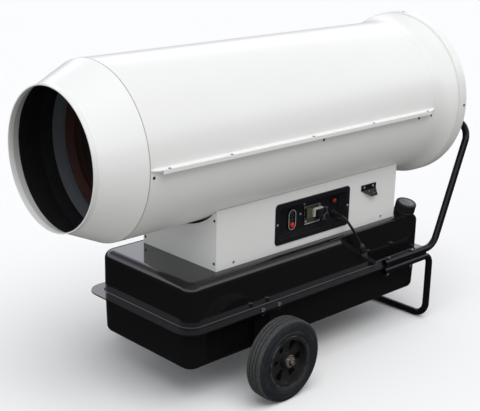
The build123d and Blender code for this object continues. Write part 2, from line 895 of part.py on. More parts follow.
with BuildPart() as fan:
    for count in range(fan_blade_count):
        blade_turn = 360 * count / fan_blade_count
        with BuildSketch(blade_plane(fan_blade_root, blade_turn, fan_root_pitch)):
            SlotOverall(fan_root_chord, fan_blade_thickness)
        with BuildSketch(blade_plane(fan_blade_reach, blade_turn, fan_tip_pitch)):
            SlotOverall(fan_tip_chord, fan_blade_thickness)
        loft()
    ring(fan_station, fan_hub_end, 0, fan_hub_radius)
    ring(fan_station, fan_hub_end, 0, shaft_radius + fit_gap, Mode.SUBTRACT)
    hexagon([facing_plane(fan_hub_end + fan_nut_length)], fan_nut_across, fan_nut_length)
    ring(fan_hub_end, fan_hub_end + fan_nut_length, 0, shaft_radius + fit_gap, Mode.SUBTRACT)
fan.part.label = "fan"
export_step(fan.part, "parts/fan.step")

with BuildPart() as pump_coupling:
    ring(shaft_front, shaft_front + coupling_length, shaft_radius + fit_gap, coupling_radius)
pump_coupling.part.label = "pump_coupling"
export_step(pump_coupling.part, "parts/pump_coupling.step")


# ---------------------------------------------------------------- fuel pump, valve, lines
pump_front = shaft_front - pump_length - coupling_space
pump_face = pump_front + pump_length
with BuildPart() as fuel_pump:
    with BuildSketch(facing_plane(pump_face)):
        RectangleRounded(pump_size, pump_size, pump_corner)
    extrude(amount=pump_length)
    ring(pump_face, motor_station, pump_skirt_radius - pump_skirt_wall, pump_skirt_radius)
    ring(pump_face, pump_face + pump_skirt_plate, 0, pump_skirt_radius)
fuel_pump.part.label = "fuel_pump"
export_step(fuel_pump.part, "parts/fuel_pump.step")

pump_top_z = axis_z + pump_size / 2
with BuildPart() as solenoid_valve:
    with BuildSketch(level_plane(0, pump_front + pump_length / 2, pump_top_z)):
        RectangleRounded(valve_size, valve_size, pump_corner / 2)
    extrude(amount=valve_body_height)
    post([level_plane(0, pump_front + pump_length / 2, pump_top_z)], valve_coil_radius, valve_height)
solenoid_valve.part.label = "solenoid_valve"
export_step(solenoid_valve.part, "parts/solenoid_valve.step")

pickup_foot_z = tank_floor_gap + tank_sheet + pickup_floor_gap
filter_foot_z = tray_top_z + filter_lift
filter_top_z = filter_foot_z + filter_height
with BuildPart() as fuel_lines:
    ring(holder_end, pump_front, 0, fuel_pipe_radius)
    post([level_plane(fuel_pipe_x, fuel_pipe_station, pickup_foot_z)],
         fuel_pipe_radius, filter_foot_z - pickup_foot_z)
    post([level_plane(fuel_pipe_x, fuel_pipe_station, filter_top_z)],
         fuel_pipe_radius, axis_z - pump_size / 2 - filter_top_z)
fuel_lines.part.label = "fuel_lines"
export_step(fuel_lines.part, "parts/fuel_lines.step")

with BuildPart() as fuel_filter:
    post([level_plane(fuel_pipe_x, fuel_pipe_station, filter_foot_z)], filter_radius, filter_bowl_height)
    post([level_plane(fuel_pipe_x, fuel_pipe_station, filter_foot_z)], filter_head_radius, filter_height)
    fillet(fuel_filter.faces().sort_by(Axis.Z)[0].edges(), filter_round)
fuel_filter.part.label = "fuel_filter"
export_step(fuel_filter.part, "parts/fuel_filter.step")


# ---------------------------------------------------------------- cabinet
panel_screw_x = cabinet_half_width - panel_screw_inset
front_panel_screws = [
    facing_plane(cabinet_station, side * panel_screw_x, tank_top_z + height)
    for side in (-1, 1)
    for height in panel_screw_heights
]
rear_panel_screws = [
    Plane(origin=(side * panel_screw_x, front_y + cabinet_end_station, tank_top_z + height),
          x_dir=(1, 0, 0), z_dir=(0, 1, 0))
    for side in (-1, 1)
    for height in panel_screw_heights
]
side_screw_stations = (cabinet_station + tray_screw_inset, cabinet_end_station - tray_screw_inset)
right_panel_screws = [
    panel_plane(cabinet_half_width, station, tray_screw_height) for station in side_screw_stations
]
left_panel_screws = [
    Plane(origin=(-cabinet_half_width, front_y + station, tank_top_z + tray_screw_height),
          x_dir=(0, -1, 0), z_dir=(-1, 0, 0))
    for station in side_screw_stations
]


def arched_panel(back_station, screw_planes):
    """An end panel of the cabinet, its top edge an arch under the casing."""
    with BuildPart() as panel:
        with BuildSketch(facing_plane(back_station, 0, tank_top_z)):
            Rectangle(2 * cabinet_half_width, cabinet_height, align=(Align.CENTER, Align.MIN))
            with Locations((0, arch_floor_z - tank_top_z + arch_radius)):
                Circle(arch_radius, mode=Mode.SUBTRACT)
        extrude(amount=sheet)
        drill(screw_planes, hole_radius, hole_depth)
    return panel


front_panel = arched_panel(cabinet_station + sheet, front_panel_screws)
front_panel.part.label = "front_panel"
export_step(front_panel.part, "parts/front_panel.step")

rear_panel = arched_panel(cabinet_end_station, rear_panel_screws)
rear_panel.part.label = "rear_panel"
export_step(rear_panel.part, "parts/rear_panel.step")

recess_length = bezel_length - 2 * bezel_flange
recess_height = bezel_height - 2 * bezel_flange
bezel_screws = [
    panel_plane(cabinet_half_width + bezel_flange_thickness, station, bezel_height_mid)
    for station in (
        bezel_station - bezel_length / 2 + bezel_screw_inset,
        bezel_station + bezel_length / 2 - bezel_screw_inset,
    )
]
hook_screws = [
    panel_plane(cabinet_half_width + hook_thickness, station, (hook_bottom_height + hook_top_height) / 2)
    for station in (hook_station + hook_screw_inset, hook_station + hook_length - hook_screw_inset)
]
panel_length = cabinet_length - 2 * sheet


def side_panel(side):
    """A side panel with a return at each end, on the control side (1) or the other (-1)."""
    with BuildPart() as panel:
        with BuildSketch(level_plane(0, cabinet_mid_station, tank_top_z)):
            with Locations((side * (cabinet_half_width - return_width / 2), 0)):
                Rectangle(return_width, panel_length)
            with Locations((side * (cabinet_half_width - sheet - return_width / 2), 0)):
                Rectangle(return_width, panel_length - 2 * sheet, mode=Mode.SUBTRACT)
        extrude(amount=cabinet_height)
        with BuildSketch(facing_plane(cabinet_end_station)) as clearance:
            Circle(casing_radius + nest_gap)
        extrude(clearance.sketch, amount=cabinet_length, mode=Mode.SUBTRACT)
        drill(front_panel_screws + rear_panel_screws, hole_radius, hole_depth)
        drill(right_panel_screws if side > 0 else left_panel_screws, hole_radius, hole_depth)
    return panel


with BuildPart() as right_panel:
    add(side_panel(1).part)
    with BuildSketch(panel_plane(cabinet_half_width, bezel_station, bezel_height_mid)):
        RectangleRounded(
            recess_length + 2 * bezel_wall + 2 * nest_gap,
            recess_height + 2 * bezel_wall + 2 * nest_gap,
            recess_corner + bezel_wall,
        )
    extrude(amount=hole_depth / 2, both=True, mode=Mode.SUBTRACT)
    drill(bezel_screws + hook_screws, hole_radius, hole_depth)
right_panel.part.label = "right_panel"
export_step(right_panel.part, "parts/right_panel.step")

left_panel = side_panel(-1)
left_panel.part.label = "left_panel"
export_step(left_panel.part, "parts/left_panel.step")

tray_half = cabinet_half_width - sheet - nest_gap
tray_length = panel_length - 2 * sheet - 2 * nest_gap
stud_places = [
    level_plane(x, station, tank_top_z)
    for x in (-stud_x, stud_x)
    for station in (cabinet_station + stud_inset, cabinet_end_station - stud_inset)
]
with BuildPart() as component_tray:
    with BuildSketch(level_plane(0, cabinet_mid_station, tank_top_z)):
        Rectangle(2 * tray_half, tray_length)
    extrude(amount=tray_upturn)
    with BuildSketch(level_plane(0, cabinet_mid_station, tray_top_z)):
        Rectangle(2 * (tray_half - sheet), tray_length)
    extrude(amount=tray_upturn, mode=Mode.SUBTRACT)
    drill(right_panel_screws + left_panel_screws, hole_radius, hole_depth)
    drill(stud_places, stud_radius + hole_gap, hole_depth)
    drill([level_plane(fuel_pipe_x, fuel_pipe_station, tank_top_z)], fuel_pipe_radius + hole_gap, hole_depth)
component_tray.part.label = "component_tray"
export_step(component_tray.part, "parts/component_tray.step")

saddle_half = tray_half - sheet - saddle_margin
with BuildPart() as casing_saddles:
    for station in saddle_stations:
        with BuildSketch(facing_plane(station - saddle_flange / 2 + saddle_thickness, 0, tray_top_z)):
            Rectangle(2 * saddle_half, cabinet_height, align=(Align.CENTER, Align.MIN))
            with Locations((0, axis_z - tray_top_z)):
                Circle(casing_radius + nest_gap, mode=Mode.SUBTRACT)
        extrude(amount=saddle_thickness)
        with BuildSketch(facing_plane(station + saddle_flange / 2, 0, axis_z)):
            Circle(saddle_outer)
            Circle(casing_radius + nest_gap, mode=Mode.SUBTRACT)
            with Locations((0, -saddle_outer / 2)):
                Rectangle(2 * saddle_half, saddle_outer, mode=Mode.INTERSECT)
        extrude(amount=saddle_flange)
        with BuildSketch(level_plane(0, station, tray_top_z)):
            Rectangle(2 * saddle_half, saddle_flange)
        extrude(amount=saddle_thickness)
    drill(saddle_screws, hole_radius, hole_depth)
casing_saddles.part.label = "casing_saddles"
export_step(casing_saddles.part, "parts/casing_saddles.step")


def electric_box(station):
    """A closed box for electrical gear, standing on the component tray."""
    with BuildPart() as box:
        with BuildSketch(level_plane(box_x, station, tray_top_z)):
            RectangleRounded(box_width, box_length, box_corner)
        extrude(amount=box_height)
        fillet(box.faces().sort_by(Axis.Z)[-1].edges(), box_edge)
    return box


control_box = electric_box(control_box_station)
control_box.part.label = "control_box"
export_step(control_box.part, "parts/control_box.step")

ignition_transformer = electric_box(transformer_station)
ignition_transformer.part.label = "ignition_transformer"
export_step(ignition_transformer.part, "parts/ignition_transformer.step")


# ---------------------------------------------------------------- control bezel
floor_x = cabinet_half_width - bezel_depth + bezel_wall
switch_mid = panel_plane(floor_x, switch_station, switch_height)
reset_plane = panel_plane(floor_x, reset_station, reset_height)
gland_plane = panel_plane(floor_x, gland_station, gland_height)
socket_face_x = floor_x + socket_thickness
floor_screws = [panel_plane(floor_x, station, height) for station, height in floor_screw_places]
floor_screws += [panel_plane(socket_face_x, station, height) for station, height in socket_screw_places]
body_width = switch_width - 2 * switch_ring_width
body_length = switch_length - 2 * switch_ring_width
with BuildPart() as control_bezel:
    with BuildSketch(panel_plane(cabinet_half_width, bezel_station, bezel_height_mid)):
        RectangleRounded(bezel_length, bezel_height, bezel_corner)
    extrude(amount=bezel_flange_thickness)
    fillet(control_bezel.faces().sort_by(Axis.X)[-1].edges(), bezel_edge)
    with BuildSketch(panel_plane(cabinet_half_width, bezel_station, bezel_height_mid)):
        RectangleRounded(recess_length + 2 * bezel_wall, recess_height + 2 * bezel_wall,
                         recess_corner + bezel_wall)
    with BuildSketch(panel_plane(cabinet_half_width - bezel_depth, bezel_station, bezel_height_mid)):
        RectangleRounded(
            recess_length + 2 * bezel_wall - 2 * bezel_end_slope,
            recess_height + 2 * bezel_wall - 2 * bezel_edge_slope,
            recess_corner + bezel_wall,
        )
    loft()
    with BuildSketch(panel_plane(cabinet_half_width + bezel_flange_thickness, bezel_station,
                                 bezel_height_mid)):
        RectangleRounded(recess_length, recess_height, recess_corner)
    with BuildSketch(panel_plane(floor_x, bezel_station, bezel_height_mid)):
        RectangleRounded(
            recess_length - 2 * bezel_end_slope,
            recess_height - 2 * bezel_edge_slope,
            recess_corner,
        )
    loft(mode=Mode.SUBTRACT)
    post([reset_plane], reset_radius + moving_gap + reset_collar_wall, reset_collar_stand)
    post([reset_plane], reset_radius + moving_gap + reset_collar_wall, -reset_boss_depth)
    drill([reset_plane], reset_radius + moving_gap, bezel_depth)
    drill([gland_plane], gland_thread_radius + hole_gap, hole_depth)
    with BuildSketch(switch_mid):
        SlotOverall(body_length + 2 * nest_gap, body_width + 2 * nest_gap, rotation=90)
    extrude(amount=hole_depth, both=True, mode=Mode.SUBTRACT)
    drill(bezel_screws + floor_screws, hole_radius, hole_depth / 2)
control_bezel.part.label = "control_bezel"
export_step(control_bezel.part, "parts/control_bezel.step")


# ---------------------------------------------------------------- sheet screws
with BuildPart() as sheet_screws:
    add_screws(cone_screws + clip_screws + motor_screws + bell_screws + rim_screws, screw_length)
    add_screws(lip_screws + saddle_screws, screw_length)
    add_screws(front_panel_screws + rear_panel_screws, screw_length)
    add_screws(right_panel_screws + left_panel_screws, screw_length)
    add_screws(bezel_screws + hook_screws, screw_length)
    add_screws(floor_screws, floor_screw_length)
sheet_screws.part.label = "sheet_screws"
export_step(sheet_screws.part, "parts/sheet_screws.step")


# ---------------------------------------------------------------- push buttons
switch_face_x = floor_x + switch_plate_thickness
start_plane = panel_plane(switch_face_x, switch_station, switch_height + button_spacing / 2)
stop_plane = panel_plane(switch_face_x, switch_station, switch_height - button_spacing / 2)
with BuildPart() as button_housing:
    with BuildSketch(switch_mid):
        SlotOverall(switch_length, switch_width, rotation=90)
    extrude(amount=switch_plate_thickness)
    with BuildSketch(panel_plane(switch_face_x, switch_station, switch_height)):
        SlotOverall(switch_length, switch_width, rotation=90)
        SlotOverall(body_length, body_width, rotation=90, mode=Mode.SUBTRACT)
    extrude(amount=switch_ring_thickness)
    with BuildSketch(switch_mid):
        SlotOverall(body_length, body_width, rotation=90)
    extrude(amount=-switch_body_depth)
    post([start_plane, stop_plane], button_radius + moving_gap, -switch_bore_depth, Mode.SUBTRACT)
    with BuildSketch(panel_plane(switch_face_x, switch_station, switch_height)):
        RectangleRounded(pilot_length, pilot_width, moulding_round / 2)
    extrude(amount=switch_ring_thickness)
button_housing.part.label = "button_housing"
export_step(button_housing.part, "parts/button_housing.step")

button_depth = switch_bore_depth - button_travel - button_end_space
with BuildPart() as start_button:
    post([start_plane], button_radius, start_button_stand)
    fillet(start_button.faces().sort_by(Axis.X)[-1].edges(), start_button_stand / 4)
    post([start_plane], button_radius, -button_depth)
start_button.part.label = "start_button"
export_step(start_button.part, "parts/start_button.step")

with BuildPart() as stop_button:
    post([stop_plane], button_radius, stop_button_stand)
    fillet(stop_button.faces().sort_by(Axis.X)[-1].edges(), stop_button_stand / 3)
    post([stop_plane], button_radius, -button_depth)
stop_button.part.label = "stop_button"
export_step(stop_button.part, "parts/stop_button.step")

with BuildPart() as reset_button:
    post([reset_plane], reset_radius, reset_stand)
    fillet(reset_button.faces().sort_by(Axis.X)[-1].edges(), reset_dome)
    post([reset_plane], reset_radius, -(reset_boss_depth - reset_travel))
reset_button.part.label = "reset_button"
export_step(reset_button.part, "parts/reset_button.step")


# ---------------------------------------------------------------- thermostat socket and fuse
with BuildPart() as thermostat_socket:
    with BuildSketch(panel_plane(floor_x, socket_station, socket_height)):
        RectangleRounded(socket_length, socket_width, socket_corner)
    extrude(amount=socket_thickness)
    with BuildSketch(panel_plane(socket_face_x, socket_station, socket_height)):
        RectangleRounded(socket_length, socket_width, socket_corner)
        RectangleRounded(socket_length - 2 * socket_rim, socket_width - 2 * socket_rim,
                         socket_corner - socket_rim, mode=Mode.SUBTRACT)
    extrude(amount=socket_rim)
    with BuildSketch(panel_plane(socket_face_x, contact_station, contact_height)):
        RectangleRounded(contact_length, contact_width, moulding_round)
    extrude(amount=contact_thickness)
    drill(floor_screws, hole_radius, hole_depth / 2)
thermostat_socket.part.label = "thermostat_socket"
export_step(thermostat_socket.part, "parts/thermostat_socket.step")

with BuildPart() as thermostat_plug:
    with BuildSketch(panel_plane(socket_face_x, plug_station, plug_height)):
        RectangleRounded(plug_length, plug_width, moulding_round)
    extrude(amount=plug_thickness)
    fillet(thermostat_plug.faces().sort_by(Axis.X)[-1].edges(), moulding_round)
thermostat_plug.part.label = "thermostat_plug"
export_step(thermostat_plug.part, "parts/thermostat_plug.step")

latch_end = plug_station + plug_length / 2
latch_start = plug_station - plug_length / 2 - nest_gap - latch_width
latch_base = plug_height + plug_width / 2 + nest_gap
with BuildPart() as plug_latch:
    with BuildSketch(panel_plane(socket_face_x, latch_start, latch_base)):
        Rectangle(latch_end - latch_start, latch_top, align=(Align.MIN, Align.MIN))
        with Locations((0, latch_top)):
            Rectangle(latch_width, latch_leg, align=(Align.MIN, Align.MAX))
    extrude(amount=latch_thickness)
    fillet(plug_latch.edges().filter_by(Axis.X), moulding_round / 2)
plug_latch.part.label = "plug_latch"
export_step(plug_latch.part, "parts/plug_latch.step")

with BuildPart() as fuse_holder:
    with BuildSketch(panel_plane(floor_x, fuse_station, fuse_plate_height)):
        RectangleRounded(fuse_plate_length, fuse_plate_width, moulding_round)
    extrude(amount=fuse_plate_thickness)
    knob_height = fuse_plate_height - fuse_knob_drop / 2
    knob_plane = panel_plane(floor_x + fuse_plate_thickness, fuse_station, knob_height)
    post([knob_plane], fuse_knob_radius, fuse_knob_thickness)
    fillet(fuse_holder.faces().sort_by(Axis.X)[-1].edges(), moulding_round)
fuse_holder.part.label = "fuse_holder"
export_step(fuse_holder.part, "parts/fuse_holder.step")


# ---------------------------------------------------------------- gland, mains lead, plug
gland_end_x = floor_x + gland_length
with BuildPart() as cord_gland:
    hexagon([gland_plane], gland_nut_across, gland_nut_thickness)
    post([gland_plane], gland_thread_radius, -gland_thread_length)
    with BuildSketch(panel_plane(floor_x + gland_nut_thickness, gland_station, gland_height)):
        Circle(gland_base_radius)
    with BuildSketch(panel_plane(gland_end_x, gland_station, gland_height)):
        Circle(gland_end_radius)
    loft()
cord_gland.part.label = "cord_gland"
export_step(cord_gland.part, "parts/cord_gland.step")

# The lead's route, chosen by hand: x, station and z of each point, from the gland to the plug.
cord_route = [
    (gland_end_x, gland_station, tank_top_z + gland_height),
    (gland_end_x + cord_straight_run, gland_station, tank_top_z + gland_height),
    (188.5, 954.2, 439.5),
    (197.5, 961.5, 427.5),
    (204.5, 973.5, 408.0),
    (209.5, 986.5, 386.5),
    (213.0, 996.5, 367.0),
]
cord_points = [Vector(x, front_y + station, z) for x, station, z in cord_route]
cord_radii = []
for before, here, after in zip(cord_points, cord_points[1:], cord_points[2:]):
    turn = (here - before).get_angle(after - here)
    shorter = min((here - before).length, (after - here).length)
    cord_radii.append(cord_turn_share * shorter / math.tan(math.radians(turn) / 2))
print("mains lead: bend radii", [round(radius, 1) for radius in cord_radii])
with BuildPart() as power_cord:
    with BuildLine() as cord_path:
        FilletPolyline(*cord_points, radius=cord_radii)
    with BuildSketch(Plane(origin=cord_points[0], z_dir=cord_points[1] - cord_points[0])):
        Circle(cord_radius)
    sweep()
cord_length = sum(edge.length for edge in cord_path.edges())
print("mains lead: length", round(cord_length, 1),
      "volume over section times length", power_cord.part.volume / (math.pi * cord_radius**2 * cord_length))
power_cord.part.label = "power_cord"
export_step(power_cord.part, "parts/power_cord.step")

plug_axis = (cord_points[-1] - cord_points[-2]).normalized()
plug_start = Plane(origin=cord_points[-1], x_dir=(1, 0, 0), z_dir=plug_axis)
plug_waist = Plane(origin=cord_points[-1] + plug_axis * plug_taper_length, x_dir=plug_start.x_dir,
                   z_dir=plug_axis)
plug_face = Plane(origin=plug_waist.origin + plug_axis * plug_body_length, x_dir=plug_start.x_dir,
                  z_dir=plug_axis)
with BuildPart() as power_plug:
    with BuildSketch(plug_start):
        Circle(plug_neck_radius)
    with BuildSketch(plug_waist):
        Circle(plug_body_radius)
    loft()
    with BuildSketch(plug_waist):
        Circle(plug_body_radius)
    extrude(amount=plug_body_length)
power_plug.part.label = "power_plug"
export_step(power_plug.part, "parts/power_plug.step")

with BuildPart() as plug_pins:
    with BuildSketch(plug_face):
        with Locations((-pin_blade_spacing / 2, pin_blade_offset), (pin_blade_spacing / 2, pin_blade_offset)):
            Rectangle(pin_blade_thickness, pin_blade_width)
        with Locations((0, -pin_ground_offset)):
            Circle(pin_ground_radius)
    extrude(amount=pin_length)
plug_pins.part.label = "plug_pins"
export_step(plug_pins.part, "parts/plug_pins.step")


# ---------------------------------------------------------------- cord hook
hook_fold = Plane(
    origin=(cabinet_half_width, front_y + hook_station, tank_top_z + hook_bottom_height),
    x_dir=(0, 1, 0),
    z_dir=(math.cos(math.radians(hook_tilt)), 0, math.sin(math.radians(hook_tilt))),
)
with BuildPart() as cord_hook:
    with BuildSketch(panel_plane(cabinet_half_width, hook_station, hook_bottom_height)):
        Rectangle(hook_length, hook_top_height - hook_bottom_height, align=(Align.MIN, Align.MIN))
    extrude(amount=hook_thickness)
    with BuildSketch(hook_fold):
        with BuildLine():
            Polyline(
                (0, hook_thickness / 4),
                (hook_length, hook_thickness / 4),
                (hook_length, -hook_flap_length),
                (hook_flap_skew, -hook_flap_length),
                close=True,
            )
        make_face()
        with Locations(*[(along, -drop) for along, drop in hook_holes]):
            Circle(hook_hole_radius, mode=Mode.SUBTRACT)
    extrude(amount=hook_thickness)
    drill(hook_screws, hole_radius, hole_depth)
    with BuildSketch(panel_plane(cabinet_half_width, hook_station - hook_length, 0)) as behind_panel:
        Rectangle(3 * hook_length, 2 * cabinet_height, align=(Align.MIN, Align.MIN))
    extrude(behind_panel.sketch, amount=-hook_length, mode=Mode.SUBTRACT)
cord_hook.part.label = "cord_hook"
export_step(cord_hook.part, "parts/cord_hook.step")


# ---------------------------------------------------------------- tank
tank_mid_station = tank_station + tank_length / 2
neck_turn = math.radians(neck_tilt)
neck_direction = Vector(math.sin(neck_turn), 0, math.cos(neck_turn))
neck_plane = Plane(origin=(neck_x, front_y + neck_station, tank_top_z),
                   x_dir=(math.cos(neck_turn), 0, -math.sin(neck_turn)), z_dir=neck_direction)
bracket_bolts = [
    level_plane(side * bracket_bolt_x, station, seam_z + tank_sheet)
    for side in (-1, 1)
    for station in bracket_bolt_stations
]
tube_bolts = [
    level_plane(side * tube_x, station, seam_z + tank_sheet)
    for side in (-1, 1)
    for station in tube_bolt_stations
]
bolt_hole = bolt_radius + hole_gap


def upper_form(inset):
    """The upper half's outside, or its inside where it is inset by the sheet."""
    half_x = tank_half_width - inset
    with BuildPart() as form:
        with BuildSketch(level_plane(0, tank_mid_station, seam_z)):
            RectangleRounded(2 * half_x, tank_length - 2 * inset, tank_corner - inset)
        extrude(amount=tank_upper_depth - inset)
        fillet(form.faces().sort_by(Axis.Z)[-1].edges(), tank_shoulder - inset)
        slope = math.radians(pocket_slope)
        edge_shift = -inset * math.tan(slope / 2)
        for side in (-1, 1):
            across_edge = Plane(
                origin=(side * half_x, front_y + pocket_foot_station, seam_z),
                x_dir=(side, 0, 0),
                z_dir=(0, side * (pocket_top_station - pocket_foot_station), side * tank_upper_depth),
            )
            with BuildSketch(across_edge) as pocket:
                with BuildLine():
                    Polyline(
                        (pocket_margin, edge_shift - pocket_margin / math.tan(slope)),
                        (-pocket_depth, edge_shift + pocket_depth / math.tan(slope)),
                        (-pocket_depth, tank_length),
                        (pocket_margin, tank_length),
                        close=True,
                    )
                make_face()
            extrude(pocket.sketch, amount=tank_length, both=True, mode=Mode.SUBTRACT)
    return form


def lower_form(inset):
    """The lower half's outside, or its inside, with the channel that the axle lies in."""
    with BuildPart() as form:
        with BuildSketch(level_plane(0, tank_mid_station, seam_z)):
            RectangleRounded(2 * (tank_half_width - inset), tank_length - 2 * inset, tank_corner - inset)
        extrude(amount=inset - tank_lower_depth, taper=tank_draft)
        fillet(form.faces().sort_by(Axis.Z)[0].edges(), tank_bottom_radius - inset)
        channel = axle_radius + channel_gap + inset
        with BuildSketch(axle_plane(1, 0)) as groove:
            Circle(channel)
            with Locations((0, -axle_z / 2)):
                Rectangle(2 * channel, axle_z)
        extrude(groove.sketch, amount=2 * tank_half_width, both=True, mode=Mode.SUBTRACT)
    return form


with BuildPart() as tank_upper:
    add(upper_form(0).part)
    with BuildSketch(level_plane(0, tank_mid_station, seam_z)):
        RectangleRounded(2 * (tank_half_width + flange_width), tank_length + 2 * flange_width, flange_corner)
    extrude(amount=tank_sheet)
    wall_foot = tank_upper.edges().filter_by(
        lambda edge: abs(edge.center().Z - seam_z - tank_sheet) < sheet / 2
        and abs(edge.center().X) <= tank_half_width
        and abs(edge.center().Y - front_y - tank_mid_station) <= tank_length / 2
    )
    fillet(wall_foot, flange_root_radius)
    post([neck_plane], neck_boss_radius, neck_boss_height)
    post([neck_plane], neck_boss_radius, -neck_boss_radius / 2)
    post([neck_plane], neck_radius, neck_boss_height + neck_height)
    add(upper_form(tank_sheet).part, mode=Mode.SUBTRACT)
    drill([neck_plane], neck_radius - neck_wall, neck_boss_height + neck_height)
    post(stud_places, stud_radius, stud_height)
    drill([level_plane(vent_x, vent_station, tank_top_z)], vent_stem_radius + hole_gap, hole_depth)
    drill([level_plane(fuel_pipe_x, fuel_pipe_station, tank_top_z)], fuel_pipe_radius + hole_gap, hole_depth)
    drill(bracket_bolts + tube_bolts, bolt_hole, hole_depth)
tank_upper.part.label = "tank_upper"
export_step(tank_upper.part, "parts/tank_upper.step")

drain_turn = math.radians(tank_draft)
drain_drop = tank_lower_depth - drain_height
drain_y = front_y + tank_end_station - drain_drop * math.tan(drain_turn)
drain_plane = Plane(origin=(0, drain_y, tank_floor_gap + drain_height), x_dir=(1, 0, 0),
                    z_dir=(0, math.cos(drain_turn), -math.sin(drain_turn)))
with BuildPart() as tank_lower:
    add(lower_form(0).part)
    with BuildSketch(level_plane(0, tank_mid_station, seam_z)):
        RectangleRounded(2 * (tank_half_width + flange_width), tank_length + 2 * flange_width, flange_corner)
    extrude(amount=-tank_sheet)
    add(lower_form(tank_sheet).part, mode=Mode.SUBTRACT)
    drill([drain_plane], drain_stem_radius + hole_gap, hole_depth)
    drill(bracket_bolts + tube_bolts, bolt_hole, hole_depth)
tank_lower.part.label = "tank_lower"
export_step(tank_lower.part, "parts/tank_lower.step")

cap_foot = neck_boss_height + moving_gap
with BuildPart() as filler_cap:
    with BuildSketch(neck_plane.offset(cap_foot)):
        Circle(cap_radius)
        with PolarLocations(cap_radius, cap_rib_count):
            Circle(cap_rib_radius)
    extrude(amount=cap_height)
    with BuildSketch(neck_plane.offset(cap_foot)):
        Circle(cap_radius - cap_wall)
    extrude(amount=cap_height - cap_top, mode=Mode.SUBTRACT)
    with BuildSketch(neck_plane.offset(cap_foot + cap_height)):
        Circle(cap_dial_radius)
    extrude(amount=-cap_dial_depth, mode=Mode.SUBTRACT)
filler_cap.part.label = "filler_cap"
export_step(filler_cap.part, "parts/filler_cap.step")

with BuildPart() as tank_fittings:
    post([level_plane(vent_x, vent_station, tank_top_z)], vent_radius, vent_height)
    fillet(tank_fittings.faces().sort_by(Axis.Z)[-1].edges(), vent_radius / 4)
    post([level_plane(vent_x, vent_station, tank_top_z)], vent_stem_radius, -fitting_stem_length)
    hexagon([drain_plane], drain_across, drain_head_height)
    post([drain_plane], drain_stem_radius, -fitting_stem_length)
tank_fittings.part.label = "tank_fittings"
export_step(tank_fittings.part, "parts/tank_fittings.step")


# ---------------------------------------------------------------- axle and its brackets
hub_end_x = wheel_x + hub_outer_reach
axle_shoulder = hub_end_x + washer_gap - fit_gap
with BuildPart() as axle:
    with BuildSketch(axle_plane(1, 0)) as axle_bar:
        Circle(axle_radius)
    extrude(axle_bar.sketch, amount=axle_shoulder, both=True)
    with BuildSketch(axle_plane(1, 0)) as axle_ends:
        Circle(axle_end_radius)
    extrude(axle_ends.sketch, amount=axle_shoulder + axle_end_length, both=True)
axle.part.label = "axle"
export_step(axle.part, "parts/axle.step")

bracket_mid = sum(bracket_bolt_stations) / 2
bracket_top_z = seam_z - tank_sheet
bracket_half = (bracket_bolt_stations[1] - bracket_bolt_stations[0]) / 2 + bracket_tab_margin
bush_end = wheel_x - hub_inner_reach - moving_gap
web_foot = axle_radius + fit_gap + bush_wall + bracket_web_margin
with BuildPart() as axle_brackets:
    for side in (-1, 1):
        with BuildSketch(level_plane(side * bracket_web_x, bracket_mid, bracket_top_z)):
            with Locations((side * (tank_half_width + flange_width - bracket_web_x) / 2, 0)):
                Rectangle(tank_half_width + flange_width - bracket_web_x, 2 * bracket_half)
        extrude(amount=-bracket_tab_thickness)
        web_plane = Plane(origin=(side * bracket_web_x, front_y, 0), x_dir=(0, side, 0), z_dir=(side, 0, 0))
        with BuildSketch(web_plane):
            with BuildLine():
                Polyline(
                    (side * (bracket_mid - bracket_half), bracket_top_z),
                    (side * (bracket_mid + bracket_half), bracket_top_z),
                    (side * (wheel_station + web_foot), axle_z),
                    (side * (wheel_station + web_foot), axle_z - web_foot),
                    (side * (wheel_station - web_foot), axle_z - web_foot),
                    (side * (wheel_station - web_foot), axle_z),
                    close=True,
                )
            make_face()
        extrude(amount=bracket_tab_thickness)
        with BuildSketch(axle_plane(side, bracket_web_x)):
            Circle(axle_radius + fit_gap + bush_wall)
        extrude(amount=bush_end - bracket_web_x)
    with BuildSketch(axle_plane(1, 0)) as bush_bore:
        Circle(axle_radius + fit_gap)
    extrude(bush_bore.sketch, amount=2 * wheel_x, both=True, mode=Mode.SUBTRACT)
    drill(bracket_bolts, bolt_hole, hole_depth)
axle_brackets.part.label = "axle_brackets"
export_step(axle_brackets.part, "parts/axle_brackets.step")


# ---------------------------------------------------------------- wheels
def tyre_half_outline():
    """The outer half of the tyre's section, from the bead to the middle of the tread."""
    return [
        (bead_width / 2, bead_radius),
        (bead_width / 2, rim_lip_radius + nest_gap),
        (wheel_width / 2 - sidewall_round, (rim_lip_radius + sidewall_radius) / 2),
        (wheel_width / 2, sidewall_radius),
        (wheel_width / 2 - sidewall_round, wheel_radius - shoulder_drop),
    ]


